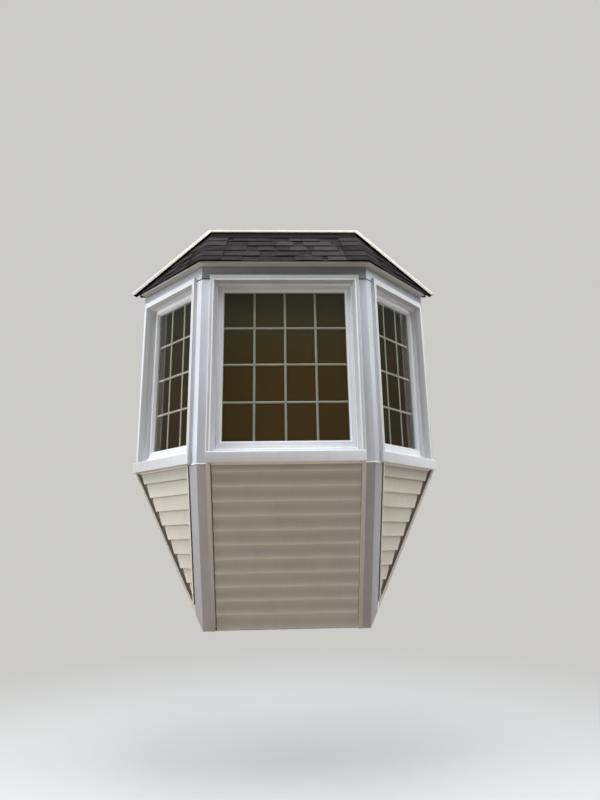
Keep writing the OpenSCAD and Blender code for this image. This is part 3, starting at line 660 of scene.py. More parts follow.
def ease(obj, width):
    obj.data.shade_smooth()
    bevel = obj.modifiers.new("eased_edges", "BEVEL")
    bevel.width = width
    bevel.segments = 2
    bevel.limit_method = "ANGLE"
    bevel.angle_limit = math.radians(SHARP_ANGLE)
    bevel.harden_normals = True


def rounded(node, width, finish):
    ease(show(node + "_finished", merged(node), finish, [node], slots[node]), width)


EDGE = {
    "window_frame_center": 0.0004, "window_frame_left": 0.0004, "window_frame_right": 0.0004,
    "casing_center": 0.0011, "casing_left": 0.0011, "casing_right": 0.0011,
    "sill_center": 0.0012, "sill_left": 0.0012, "sill_right": 0.0012,
    "corner_post_left": 0.0016, "corner_post_right": 0.0016, "wall_trims": 0.0012,
    "frieze_front": 0.0012, "frieze_left": 0.0012, "frieze_right": 0.0012,
    "fascia": 0.0012, "soffit": 0.001, "rake_channels": 0.001, "top_flashing": 0.0004,
    "skirt_post_left": 0.0018, "skirt_post_right": 0.0018,
}
for node, width in EDGE.items():
    rounded(node, width, slots[node])
print("rounded pieces:", len(EDGE))

# %% [markdown]
# The channels beside the skirt's posts and along its slanting ends are bent from thin sheet. Their
# folds are sharper than the camera can see, and their long narrow faces look right with flat shading
# only, so they get no bevel.

# %% Skirt channels
channels = merged("skirt_channels")
channels.shade_flat()
show("skirt_channels_finished", channels, "cream_vinyl", ["skirt_channels"])
print("faces of the skirt channels:", len(channels.polygons))

# %% [markdown]
# The "shade" attribute that the finishes read holds painted shade. It is filled by a rule: a small
# function that looks at a face and one of its corners and says how much shade to paint there. The
# frieze boards get the most right under the soffit, where the eave's shadow falls. The front one lies
# in the eave's deepest shadow, so it is painted dark all over.

# %% Painted shade on the frieze
# Painted shade of each frieze board, at its foot and at its top.
FRIEZE_SHADE = {"front": (0.57, 0.63), "left": (0.0, 0.56), "right": (0.0, 0.56)}
soffit_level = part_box("soffit")[0].z


def shaded(name, rule):
    """Stores the "shade" attribute: rule gives a value for each corner of each face."""
    mesh = bpy.data.objects[name].data
    values = [rule(face, mesh.vertices[i].co) for face in mesh.polygons for i in face.vertices]
    layer = mesh.attributes.new("shade", "FLOAT", "CORNER")
    layer.data.foreach_set("value", values)


def painted_shade_on_frieze(side, foot_shade, top_shade):
    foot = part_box("frieze_" + side)[0].z

    def rule(face, point):
        share = (point.z - foot) / (soffit_level - foot)
        return foot_shade + (top_shade - foot_shade) * max(0.0, min(1.0, share))

    shaded("frieze_" + side + "_finished", rule)


for side, painted_shade in FRIEZE_SHADE.items():
    painted_shade_on_frieze(side, *painted_shade)
print("frieze dust, foot and head:", FRIEZE_SHADE)

# %% [markdown]
# The casings have a flat face and a splay that slopes in to the frame. The splay gets painted shade,
# more above half its height, where the head's shadow falls. The flat faces get some too, the middle
# casing's most, again more towards the head. Faces that look sideways or back get none.

# %% Painted shade on the casings
WINDOW_TURN = {"center": 0.0, "left": -math.pi / 4, "right": math.pi / 4}
# Each pair says how much painted shade lies all over, and how much more comes per height above the middle.
FACE_SHADE = {"center": (0.13, 0.20), "left": (0.05, 0.05), "right": (0.05, 0.05)}
SPLAY_SHADE = (0.17, 0.68)
FLAT_FACE = 0.95
SIDE_FACE = 0.3


def painted_shade_on_casing(which):
    outward = Matrix.Rotation(WINDOW_TURN[which], 3, "Z") @ Vector((0, -1, 0))
    low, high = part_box("casing_" + which)

    def rule(face, point):
        lean = face.normal.dot(outward)
        if lean < SIDE_FACE:
            return 0.0
        above_middle = max(0.0, (point.z - low.z) / (high.z - low.z) - 0.5)
        even, more = SPLAY_SHADE if lean < FLAT_FACE else FACE_SHADE[which]
        return even + more * above_middle

    shaded("casing_" + which + "_finished", rule)


for which in WINDOW_TURN:
    painted_shade_on_casing(which)
print("splay dust:", SPLAY_SHADE)

# %% [markdown]
# The left sill and the right-hand posts get a little painted shade, which evens out the light on
# them. On the right skirt post only the faces that look to the front and to the left get it.

# %% Painted shade on single pieces
LEFT_SILL_SHADE = 0.1
RIGHT_POST_SHADE = 0.06
SKIRT_POST_SHADE = 0.2


def skirt_post_rule(face, point):
    return SKIRT_POST_SHADE if face.normal.x < SIDE_FACE else 0.0


shaded("sill_left_finished", lambda face, point: LEFT_SILL_SHADE)
shaded("corner_post_right_finished", lambda face, point: RIGHT_POST_SHADE)
shaded("skirt_post_right_finished", skirt_post_rule)
print("dust on sill and posts:", LEFT_SILL_SHADE, RIGHT_POST_SHADE, SKIRT_POST_SHADE)

# %% [markdown]
# Timber shows its grain along its own length, whichever way the piece runs. For each stick, the
# longest direction is found from its points, and a "grain" attribute holds the coordinates along
# and across it, with a shift of its own so that no two sticks look alike.
# %% Grain along each stick
AXIS_STEPS = 24


def loose_parts(bm):
    """Lists of connected points, in the mesh's own order, so that every run gives the same grain."""
    seen = set()
    for first in bm.verts:
        if first in seen:
            continue
        seen.add(first)
        part = [first]
        for vert in part:
            for edge in vert.link_edges:
                other = edge.other_vert(vert)
                if other not in seen:
                    seen.add(other)
                    part.append(other)
        yield part


def long_axis(points):
    centre = sum(points, Vector()) / len(points)
    axis = max((p - centre for p in points), key=lambda v: v.length).normalized()
    for _ in range(AXIS_STEPS):
        axis = sum(((p - centre).dot(axis) * (p - centre) for p in points), Vector()).normalized()
    return axis


def grained(node, width, along=None, holes=False):
    """A wooden piece; one with holes keeps its triangles, so that its pierced faces stay flat."""
    mesh = merged(node, keep_triangles=holes)
    dice = random.Random(node)
    bm = bmesh.new()
    bm.from_mesh(mesh)
    layer = bm.verts.layers.float_vector.new("grain")
    for part in loose_parts(bm):
        axis = Vector(along) if along else long_axis([v.co for v in part])
        side = axis.cross(Vector((0, 0, 1)) if abs(axis.z) < 0.9 else Vector((0, 1, 0))).normalized()
        turn = Matrix((axis, side, axis.cross(side)))
        shift = Vector([dice.uniform(-3, 3), dice.uniform(0.05, 0.12), dice.uniform(-0.02, 0.02)])
        centre = sum((v.co for v in part), Vector()) / len(part)
        for vert in part:
            vert[layer] = turn @ (vert.co - centre) + shift
    bm.to_mesh(mesh)
    bm.free()
    ease(show(node + "_wood", mesh, slots[node], [node], slots[node]), width)


print("axis steps:", AXIS_STEPS)

# %% [markdown]
# Sawn sticks have the roundest edges. The ledger with its bolt holes is planed, and the boards are
# cut from sheets whose face grain runs along the eave.

# %% Wooden pieces
SAWN_EDGE = 0.0022
PLANED_EDGE = 0.0015
BOARD_EDGE = 0.0012
STICKS = ("roof_ledger", "rafters", "mullion_posts", "wall_jambs", "seat_joists", "skirt_studs")

for node in STICKS:
    grained(node, SAWN_EDGE)
grained("wall_ledger", PLANED_EDGE, holes=True)
for node in ("head_board", "seat_board", "roof_deck_front"):
    grained(node, BOARD_EDGE, along=(1, 0, 0))
for side, sign in SIDES.items():
    grained("roof_deck_" + side, BOARD_EDGE, along=Vector((1, sign, 0)).normalized())
print("sticks:", len(STICKS), "and one ledger, boards: 5")

# %% [markdown]
# The roof and the skirt are lapped surfaces: courses that start at the bottom and cover one another
# up the slope. Each slope gets a matrix of its own directions: u level along it, t up it and h out of
# it. The slope is found from the frame, as the largest flat face that looks a given way.

# %% Slopes
ROUGHLY = 0.8


def face_plane(node, toward):
    """Centre and normal of the node's largest flat face that looks roughly toward a direction."""
    areas = {}
    for face in nodes[node].data.polygons:
        key = tuple(round(c, 3) for c in face.normal)
        if face.normal.dot(Vector(toward).normalized()) > ROUGHLY:
            areas[key] = areas.get(key, 0) + face.area
    best = max(areas, key=areas.get)
    face = next(f for f in nodes[node].data.polygons if tuple(round(c, 3) for c in f.normal) == best)
    return face.center.copy(), face.normal.copy()


def slope(node, toward, level):
    """The matrix of a slope, with its origin in the middle of the bay and at the given height."""
    point, normal = face_plane(node, toward)
    along = Vector((-normal.y, normal.x, 0)).normalized()
    up = normal.cross(along)
    origin = point + up * ((level - point.z) / up.z)
    origin -= along * origin.dot(along)
    turn = Matrix((along, up, normal)).transposed().to_4x4()
    return Matrix.Translation(origin) @ turn


skirt_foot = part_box("skirt_post_right")[0].z
skirt_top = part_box("skirt_panel_front")[1].z
front_slope = slope("skirt_post_right", (0, -1, 0), skirt_foot)
side_slopes = {side: slope("skirt_post_" + side, (sign, -1, 0), skirt_foot) for side, sign in SIDES.items()}
print("skirt from", round(skirt_foot, 3), "to", round(skirt_top, 3))

# %% [markdown]
# A lapped surface is drawn as one closed section of (t, h) points and swept along u in columns, so
# that a slow noise can make it uneven. It is swept longer than needed. Planes then cut it at the
# hips, the posts and the back, and each cut is closed, so the piece stays a solid body.

# %% Sections and cuts
SLOPE_HALF = 1.3
UP = Vector((0, 0, 1))
BACKWARD = Vector((0, 1, 0))
RIPPLE_ALONG = 3.1
RIPPLE_UP = 9.0


def swept(section, half, columns, matrix, tags=None, wobble=0.0, seed=0.0):
    """A closed section of (t, h) points swept from -half to half; tags give a value per point."""
    count = len(section)
    verts = []
    for j in range(columns + 1):
        u = half * (2 * j / columns - 1)
        for t, h in section:
            ripple = noise.noise(Vector((u * RIPPLE_ALONG + seed, t * RIPPLE_UP, seed))) * wobble
            verts.append(matrix @ Vector((u, t, h + ripple)))
    faces = []
    for j in range(columns):
        for i in range(count):
            k = (i + 1) % count
            faces.append((j * count + i, j * count + k, (j + 1) * count + k, (j + 1) * count + i))
    faces.append(tuple(range(count)))
    faces.append(tuple(columns * count + i for i in range(count)))
    mesh = bpy.data.meshes.new("section")
    mesh.from_pydata(verts, [], faces)
    if tags:
        layer = mesh.attributes.new("shade", "FLOAT", "POINT")
        layer.data.foreach_set("value", tags * (columns + 1))
    return mesh


def cut(mesh, planes):
    """Cuts away what lies on the normal's side of each plane, and closes the holes."""
    bm = bmesh.new()
    bm.from_mesh(mesh)
    bmesh.ops.recalc_face_normals(bm, faces=bm.faces)
    for point, normal in planes:
        geometry = bm.verts[:] + bm.edges[:] + bm.faces[:]
        result = bmesh.ops.bisect_plane(bm, geom=geometry, dist=1e-6, plane_co=point,
                                        plane_no=normal, clear_outer=True)
        edges = [e for e in result["geom_cut"] if isinstance(e, bmesh.types.BMEdge)]
        bmesh.ops.holes_fill(bm, edges=edges, sides=0)
    bmesh.ops.recalc_face_normals(bm, faces=bm.faces)
    bm.to_mesh(mesh)
    bm.free()
    return mesh


def joined(name, meshes):
    bm = bmesh.new()
    for mesh in meshes:
        bm.from_mesh(mesh)
    mesh = bpy.data.meshes.new(name)
    bm.to_mesh(mesh)
    bm.free()
    return mesh


print("sections are swept from", -SLOPE_HALF, "to", SLOPE_HALF)

# %% [markdown]
# Vinyl siding is pressed with a wood grain and folds under at each lower edge, with a rounded nose
# that stands 12 mm off the course below. The face is slightly crowned. The section repeats that
# shape for every course; the lowest is taller, as the first strip was hung to suit the skirt's foot.
# Each point also carries painted shade: in the hollow of the face, at its head and at its lip, and
# in a band under the sill, where the sill's shadow falls.

# %% Section of the siding
LAP_EXPOSURE = 0.1027
FIRST_LAP = {"front": 0.1225, "side": 0.136}
LAP_FRONT = -0.003
LAP_BACK = -0.015
SKIN_BACK = -0.0172
# The nose is drawn as height above the lap's foot, and depth as a share of the lap's drop.
NOSE = ((0.0014, -1.0), (0.0002, -0.7), (0.0, -0.30), (0.0006, -0.12), (0.0018, -0.02), (0.0036, 0.0))
# The face is drawn as a share of the exposure, and how far it bulges as a share of the drop.
CROWN = ((0.12, 0.025), (0.3, 0.05), (0.5, 0.055), (0.7, 0.045), (0.88, 0.02), (0.985, 0))
# Painted shade within each course, and under the sill's shadow.
HOLLOW_SHADE = {"front": 0.36, "side": 0.04}
HEAD_SHADE = {"front": 0.0, "side": 0.17}
LIP_SHADE = {"front": 0.06, "side": 0.0}
SILL_SHADE = {"front": 0.1, "side": 0.28}
SILL_REACH = 0.16


def lap_points(t0, exposure):
    drop = LAP_FRONT - LAP_BACK
    nose = [(t0 + t, LAP_FRONT + h * drop) for t, h in NOSE]
    return nose + [(t0 + share * exposure, LAP_FRONT - drop * (share - crown)) for share, crown in CROWN]


def siding_section(length, kind):
    points = []
    tags = []
    t0 = 0.0
    for course in range(math.ceil(length / LAP_EXPOSURE) + 1):
        exposure = LAP_EXPOSURE if course else FIRST_LAP[kind]
        new = lap_points(t0, exposure)
        points += new
        shares = [max(0.0, min(1.0, (t - t0) / exposure)) for t, h in new]
        # Painted shade across the course, added to the painted shade under the sill.
        painted_shade = [HOLLOW_SHADE[kind] * 4 * share * (1 - share) + HEAD_SHADE[kind] * share
                + LIP_SHADE[kind] * (1 - share) for share in shares]
        under_sill = [SILL_SHADE[kind] * max(0.0, 1 - (length - t) / SILL_REACH) for t, h in new]
        tags += [a + b for a, b in zip(painted_shade, under_sill)]
        t0 += exposure
    top = points[-1][0]
    return points + [(top, SKIN_BACK), (0, SKIN_BACK)], tags + [0.0, 0.0]


print("siding courses:", math.ceil((skirt_top - skirt_foot) / LAP_EXPOSURE))

# %% [markdown]
# Each side of the skirt gets its skin of siding with a finish strip right under the sill, over dark
# felt. The side skins stop short of the back, and there the felt shows in the open groove of the
# channel; its near-black colour is also painted shade for the depth of the groove. The front skin
# is tucked a few millimetres into the channel on the right.

# %% Siding on the skirt
FELT_BACK = -0.019
FELT_GAP = 0.0002
STRIP_HEIGHT = 0.014
STRIP_TUCK = 0.02
STRIP_LIP = ((0.0, -0.006), (0.0008, -0.004), (0.0022, LAP_FRONT))
WALL_GROOVE = 0.015
CHANNEL_TUCK = 0.0045
SIDING_WOBBLE = 0.0007
SIDING_SEED = 1.7
FOLD_ANGLE = 35


def strip_section(top):
    low = top - STRIP_HEIGHT
    lip = [(low + t, h) for t, h in STRIP_LIP]
    return [(low, SKIN_BACK), *lip, (top + STRIP_TUCK, LAP_FRONT), (top + STRIP_TUCK, SKIN_BACK)]


def siding(name, node, matrix, edges, kind, groove=0.0):
    """Siding skin with its finish strip, over near-black felt that shows in the groove at the back as
    painted shade.
    """
    length = (skirt_top - skirt_foot) / matrix.col[1].z
    section, tags = siding_section(length, kind)
    felt_front = SKIN_BACK - FELT_GAP
    felt_section = [(0, FELT_BACK), (0, felt_front), (length, felt_front), (length, FELT_BACK)]
    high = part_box(node)[1]
    ends = [(high, UP)] + [(Vector(point), Vector(normal)) for point, normal in edges]
    planes = ends + [(high - groove * BACKWARD, BACKWARD)]
    seed = len(name) * SIDING_SEED
    body = cut(swept(section, SLOPE_HALF, 64, matrix, tags, SIDING_WOBBLE, seed), planes)
    strip = cut(swept(strip_section(length), SLOPE_HALF, 24, matrix), planes)
    felt = cut(swept(felt_section, SLOPE_HALF, 4, matrix), ends + [(high, BACKWARD)])
    show(name + "_felt", felt, "felt", [node])
    mesh = joined(name, [body, strip])
    show(name, mesh, "cream_vinyl", [node])
    mesh.shade_smooth()
    mesh.set_sharp_from_angle(angle=math.radians(FOLD_ANGLE))


front_low, front_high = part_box("skirt_panel_front")
front_edges = [(front_low, (-1, 0, 0)), (front_high + Vector((CHANNEL_TUCK, 0, 0)), (1, 0, 0))]
siding("siding_front", "skirt_panel_front", front_slope, front_edges, "front")
for side, sign in SIDES.items():
    node = "skirt_panel_" + side
    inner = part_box(node)[0 if sign > 0 else 1]
    siding("siding_" + side, node, side_slopes[side], [(inner, (-sign, 0, 0))], "side", WALL_GROOVE)
print("siding on", 1 + len(SIDES), "sides")

# %% [markdown]
# The starter strip is nailed on first and holds the foot of the lowest front course. Its lip shows
# as a thin dark line from post to post. Its cream gets painted shade, as it sits back under the
# lowest course.

# %% Starter strip
STARTER_FRONT = -0.0018
STARTER_FOOT = 0.008
STARTER_STEP = (0.0006, -0.008)
STARTER_REACH = 0.042
STARTER_HEAD = -0.0125
STARTER_EDGE = 0.0005
# Painted shade on the starter strip.
STARTER_SHADE = 0.5

post_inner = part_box("skirt_post_right")[0].x
step_t, step_h = STARTER_STEP
starter_section = [(0, SKIN_BACK), (0, STARTER_FRONT), (STARTER_FOOT, STARTER_FRONT),
                   (STARTER_FOOT + step_t, step_h), (STARTER_REACH, STARTER_HEAD),
                   (STARTER_REACH, SKIN_BACK)]
starter = cut(swept(starter_section, post_inner, 12, front_slope), [(Vector(), BACKWARD)])
ease(show("starter_strip", starter, "cream_vinyl", ["skirt_panel_front"]), STARTER_EDGE)
shaded("starter_strip", lambda face, point: STARTER_SHADE)
print("starter strip:", round(2 * post_inner, 3), "long")

# %% [markdown]
# The channels get painted shade: cream where they lie open and dark down in their grooves. A face
# that lies in the plane of a slope is judged by its depth below that slope. The face along the back
# is left bright at its lip and painted dark in its inner half. An edge has to part the two, because
# a face corner can only hold one value, so two planes score the mesh there first. The open faces of
# the front channels get lighter painted shade, more on the left, and little in their upper half.

# %% Grooves of the channels
LIP_LEVEL = -0.007
LIP_DEPTH = -0.015
FLOOR_LEVEL = -0.006
GROOVE_SHADE = 0.9
POST_GROOVE_SHADE = 0.6
BACK_GROOVE_SHADE = 0.85
NEAR_BACK = -0.1
# Painted shade on the open faces of the front channels.
CHANNEL_FACE_SHADE = {"left": 0.40, "right": 0.30, "high": 0.08}

skirt_middle = (skirt_foot + skirt_top) / 2
slopes = [front_slope, *side_slopes.values()]


def scored(mesh, matrices, level):
    """Adds edges where a plane, parallel to each slope and at this level, meets the mesh."""
    bm = bmesh.new()
    bm.from_mesh(mesh)
    for matrix in matrices:
        geometry = bm.verts[:] + bm.edges[:] + bm.faces[:]
        bmesh.ops.bisect_plane(bm, geom=geometry, dist=1e-6, plane_co=matrix @ Vector((0, 0, level)),
                               plane_no=matrix.col[2].xyz)
    bm.to_mesh(mesh)
    bm.free()


def height_over(matrix, point):
    return (matrix.inverted() @ point).z


def groove_rule(face, point):
    side = "left" if face.center.x < 0 else "right"
    if face.normal.y < -FLAT_FACE and face.center.y > LIP_DEPTH:
        inner_half = height_over(side_slopes[side], face.center) < LIP_LEVEL
        return BACK_GROOVE_SHADE if inner_half else 0.0
    below = next((matrix for matrix in slopes if face.normal.dot(matrix.col[2].xyz) > FLAT_FACE), None)
    if below is None:
        return 0.0
    if height_over(below, face.center) > FLOOR_LEVEL:
        if below is not front_slope:
            return 0.0
        return CHANNEL_FACE_SHADE["high"] if point.z >= skirt_middle else CHANNEL_FACE_SHADE["right" if point.x > 0 else "left"]
    return GROOVE_SHADE if below is front_slope or face.center.y > NEAR_BACK else POST_GROOVE_SHADE


scored(channels, side_slopes.values(), LIP_LEVEL)
channels.shade_flat()
shaded("skirt_channels_finished", groove_rule)
print("faces of the scored channels:", len(channels.polygons))

# %% [markdown]
# Laminated shingles have two layers: a whole strip, and on top of it a row of tabs of many widths.
# The strips are one lapped section, thicker at each butt than at its head. The first course shows
# less of itself than the others, and its butts hang over the edge of the eave.

# %% Strips of the shingles
EXPOSURE = 0.149
FIRST_COURSE = 0.124
OVERHANG = 0.0035
BUTT = 0.009
HEAD = 0.0035
STRIP_BUTT = 0.0034
STRIP_HEAD = 0.0014
BUTT_DROP = 0.0010
BUTT_EDGE = 0.0008
EAVE_STEP = 0.01

eave_z = min(v.co.z for v in nodes["fascia"].data.vertices if v.co.z > soffit_level + EAVE_STEP)
roof_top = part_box("roof_deck_front")[1].z
roof_slope = slope("roof_deck_front", (0, -1, 1), eave_z)


def strip_section(pitch_cos, length):
    start = -OVERHANG / pitch_cos
    points = []
    t0 = start
    for course in range(math.ceil(length / EXPOSURE) + 2):
        t1 = t0 + (EXPOSURE if course else FIRST_COURSE)
        points += [(t0, STRIP_BUTT - BUTT_DROP), (t0 + BUTT_EDGE, STRIP_BUTT), (t1, STRIP_HEAD)]
        t0 = t1
    return points + [(t0, 0.0), (start, 0.0)]


print("eave at", round(eave_z, 4), "roof top at", round(roof_top, 4))

# %% [markdown]
# Geometry Nodes lay the tabs. The points of a line become a grid, with one place for each possible
# tab. A random shift moves each point sideways, and a random choice leaves some out. What is random
# comes from one seed: each use adds its own whole number to it, so no two draws are alike.

# %% Places of the tabs
TAB_SHIFT = (-0.42, 0.42)


def chance(tree, seed, limits, offset):
    """A random value between two limits for each element."""
    node = add(tree, "FunctionNodeRandomValue", data_type="FLOAT")
    for label, value in zip(("Min", "Max"), limits):
        socket = next(s for s in node.inputs if s.name == label and s.type == "VALUE")
        socket.default_value = value
    tree.links.new(math_node(tree, "ADD", seed, float(offset)), node.inputs["Seed"])
    return next(s for s in node.outputs if s.type == "VALUE" and s.enabled)


def tab_places(tree, given):
    index = add(tree, "GeometryNodeInputIndex").outputs[0]
    count = math_node(tree, "MULTIPLY", given["Courses"], given["Columns"])
    line = add(tree, "GeometryNodeMeshLine", {"Count": count})
    row = math_node(tree, "FLOOR", math_node(tree, "DIVIDE", index, given["Columns"]))
    column = math_node(tree, "MODULO", index, given["Columns"])
    middle = math_node(tree, "SUBTRACT", column, math_node(tree, "MULTIPLY", given["Columns"], 0.5))
    shifted = math_node(tree, "ADD", middle, chance(tree, given["Seed"], TAB_SHIFT, 1))
    u = math_node(tree, "MULTIPLY", shifted, given["Tab Width"])
    t = math_node(tree, "ADD", math_node(tree, "MULTIPLY", row, given["Exposure"]), given["Start"])
    short = math_node(tree, "SUBTRACT", given["Exposure"], given["First Course"])
    above_first = math_node(tree, "MINIMUM", row, 1.0)
    t = math_node(tree, "SUBTRACT", t, math_node(tree, "MULTIPLY", above_first, short))
    place = add(tree, "ShaderNodeCombineXYZ", {0: u, 1: t, 2: given["Lower Height"]}).outputs[0]
    placed = add(tree, "GeometryNodeSetPosition", {"Geometry": line.outputs[0], "Position": place})
    draw = chance(tree, given["Seed"], (0, 1), 2)
    keep = add(tree, "FunctionNodeCompare", {0: draw, 1: given["Share"]}, data_type="FLOAT",
               operation="LESS_THAN")
    chosen = {"Mesh": placed.outputs[0], "Selection": keep.outputs[0]}
    return add(tree, "GeometryNodeMeshToPoints", chosen).outputs[0]


print("shift of a tab, in widths:", TAB_SHIFT)

# %% [markdown]
# A box is set on each point, as wide as its draw says, a little askew, and with a tone of its own
# that the shingle material reads. Copies made this way are instances, which are no meshes yet. So
# the tree ends with Realize Instances, and with Set Material.

# %% Tree of the tabs
TAB_SPREAD = (-0.5, 0.9)
TAB_LEAN = (-0.002, 0.002)
TAB_TURN = (-0.006, 0.006)
TAB_TONE = (0.1, 1.0)
TAB_OVERLAP = 0.012


def tree_end(tree, geometry, given, made):
    """Every tree of this script ends like this."""
    real = add(tree, "GeometryNodeRealizeInstances", {"Geometry": geometry}).outputs[0]
    finish = add(tree, "GeometryNodeSetMaterial", {"Geometry": real, "Material": given["Material"]})
    tree.links.new(finish.outputs[0], made["Geometry"])


def tab_tree():
    tree, given, made = new_group("shingle_tabs", "GeometryNodeTree", [
        ("Geometry", "NodeSocketGeometry", None), ("Courses", "NodeSocketInt", 6),
        ("Columns", "NodeSocketInt", 14), ("Exposure", FLOAT, 0.149), ("First Course", FLOAT, 0.124),
        ("Tab Width", FLOAT, 0.12), ("Spread", FLOAT, 0.5), ("Thickness", FLOAT, 0.003),
        ("Lower Height", FLOAT, 0.0), ("Lean", FLOAT, 0.0), ("Start", FLOAT, 0.0),
        ("Share", FLOAT, 0.55), ("Seed", "NodeSocketInt", 1), ("Material", "NodeSocketMaterial", None),
    ], [("Geometry", "NodeSocketGeometry")])
    seed = given["Seed"]
    box = {"Size": (1, 1, 1), "Vertices X": 3, "Vertices Y": 2, "Vertices Z": 2}
    tab = add(tree, "GeometryNodeMeshCube", box).outputs[0]
    hung = add(tree, "GeometryNodeTransform", {"Geometry": tab, "Translation": (0, 0.5, -0.5)})
    wider = math_node(tree, "MULTIPLY", chance(tree, seed, TAB_SPREAD, 3), given["Spread"])
    width = math_node(tree, "MULTIPLY", math_node(tree, "ADD", wider, 1.0), given["Tab Width"])
    length = math_node(tree, "ADD", given["Exposure"], TAB_OVERLAP)
    size = add(tree, "ShaderNodeCombineXYZ", {0: width, 1: length, 2: given["Thickness"]}).outputs[0]
    lean = math_node(tree, "ADD", given["Lean"], chance(tree, seed, TAB_LEAN, 4))
    skew = chance(tree, seed, TAB_TURN, 5)
    turn = add(tree, "ShaderNodeCombineXYZ", {0: lean, 1: 0.0, 2: skew}).outputs[0]
    turn = add(tree, "FunctionNodeEulerToRotation", {0: turn}).outputs[0]
    copies = add(tree, "GeometryNodeInstanceOnPoints", {
        "Points": tab_places(tree, given), "Instance": hung.outputs[0], "Scale": size, "Rotation": turn})
    tone = add(tree, "GeometryNodeStoreNamedAttribute", {
        "Geometry": copies.outputs[0], "Name": "tone", "Value": chance(tree, seed, TAB_TONE, 6)},
        data_type="FLOAT", domain="INSTANCE")
    tree_end(tree, tone.outputs[0], given, made)
    return tree


TABS = tab_tree()
print("tree:", TABS.name, "with", len(TABS.nodes), "nodes")

# %% [markdown]
# A tree works as a modifier of some object. Its inputs go in by the identifier of each socket, and
# then the object is evaluated. The result is copied into a plain mesh, and the object that held the
# modifier goes away again.

# %% Running a tree


def baked(tree, values, base=None):
    """Runs a Geometry Nodes tree on a mesh and returns its result as a plain mesh."""
    start = base or bpy.data.meshes.new("start")
    holder = bpy.data.objects.new("holder", start)
    bpy.context.scene.collection.objects.link(holder)
    modifier = holder.modifiers.new("nodes", "NODES")
    modifier.node_group = tree
    for item in tree.interface.items_tree:
        if item.item_type == "SOCKET" and item.in_out == "INPUT" and item.name in values:
            modifier[item.identifier] = values[item.name]
    graph = bpy.context.evaluated_depsgraph_get()
    mesh = bpy.data.meshes.new_from_object(holder.evaluated_get(graph))
    bpy.data.objects.remove(holder)
    return mesh


print("inputs of the tree:", sum(1 for item in TABS.interface.items_tree if item.in_out == "INPUT"))

# %% [markdown]
# The material of a slope needs to know where its courses lie, so each slope gets its own. The side
# fields get darker granules, as painted shade for looking away from the light. Strips and tabs of
# one field are cut by the same planes, at the hips and at the back, and joined.

# %% Shingle fields
TAB_WIDTH = 0.118
TAB_THICKNESS = 0.0035
WIDTH_SPREAD = 0.55
TAB_SHARE = 0.62
TAB_COLUMNS = 22
STRIP_TONE = 0.15
STRIP_PIECES = 40
STRIP_WOBBLE = 0.0004
COURSE_SHADOW = 0.75
# Painted shade: the granules of the side fields are darkened.
FIELD_PAINTED_LIGHT = {"front": 1.0, "left": 0.63, "right": 0.63}
FIELD_SEED = {"front": 11, "left": 22, "right": 24}


def roof_finish(name, matrix, line, light=1.0, even_tone=False):
    """A shingle finish whose painted shadow lines lie at the butts of the courses on the given slope."""
    first = (matrix @ Vector((0, FIRST_COURSE - OVERHANG / matrix.col[2].z, HEAD))).z
    FINISH[name] = shingle_material(name, first, EXPOSURE * matrix.col[1].z, line, light, even_tone)
    return name


def laid_tabs(length, pitch_cos, finish, seed):
    return baked(TABS, {
        "Courses": math.ceil(length / EXPOSURE) + 2, "Columns": TAB_COLUMNS, "Exposure": EXPOSURE,
        "First Course": FIRST_COURSE, "Tab Width": TAB_WIDTH, "Spread": WIDTH_SPREAD,
        "Thickness": TAB_THICKNESS, "Lower Height": BUTT, "Share": TAB_SHARE, "Seed": seed,
        "Lean": -math.atan((BUTT - HEAD) / EXPOSURE), "Start": -OVERHANG / pitch_cos,
        "Material": FINISH[finish]})


def shingle_field(side, toward, edges):
    name = "shingle_field_" + side
    node = "shingles_" + side
    matrix = slope("roof_deck_" + side, toward, eave_z)
    finish = roof_finish(name, matrix, COURSE_SHADOW, FIELD_PAINTED_LIGHT[side])
    pitch_cos = matrix.col[2].z
    length = (roof_top - eave_z) / matrix.col[1].z
    planes = [(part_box(node)[1], BACKWARD)] + [(point, Vector(normal)) for point, normal in edges]
    section = strip_section(pitch_cos, length)
    strips = swept(section, SLOPE_HALF, STRIP_PIECES, matrix, None, STRIP_WOBBLE, FIELD_SEED[side])
    cut(strips, planes)
    tone = strips.attributes.new("tone", "FLOAT", "POINT")
    tone.data.foreach_set("value", [STRIP_TONE] * len(strips.vertices))
    tabs = laid_tabs(length, pitch_cos, finish, FIELD_SEED[side])
    tabs.transform(matrix)
    show(name, joined(name, [strips, cut(tabs, planes)]), finish, [node], "shingle")
    print(name, "is", round(length, 3), "long up the slope")


field_low, field_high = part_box("shingles_front")
shingle_field("front", (0, -1, 1), [(field_low, (-1, 0, 0)), (field_high, (1, 0, 0))])
for side, sign in SIDES.items():
    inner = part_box("shingles_" + side)[0 if sign > 0 else 1]
    shingle_field(side, (sign, -1, 1), [(inner, (-sign, 0, 0))])

# %% [markdown]
# The caps over the hips are single shingles, bent over the corner one course at a time. The frame
# has their steps already, so they only get rounded edges and a finish of their own. Its painted
# shadow lines follow the courses of the front field, which run level around the corner.

# %% Hip caps
CAP_EDGE = 0.0008
CAP_SHADOW = 0.95
CAP_LIGHT = 0.9

roof_finish("hip_caps", roof_slope, CAP_SHADOW, CAP_LIGHT, even_tone=True)
for side in SIDES:
    rounded("hip_cap_" + side, CAP_EDGE, "hip_caps")
print("hip caps:", len(SIDES))

# %% [markdown]
# Beside the fascia the ends of the deck and of the rafters' nailer lie open, deep in the eave's
# shade. That shade is painted on: their wood is darkened almost to black there.

# %% Open ends of the eave
# Painted shade at the open ends of the eave.
EAVE_END_SHADE = 0.96
EAVE_SHADE_HEIGHT = 0.03
EAVE_SHADE_FROM = 1.0


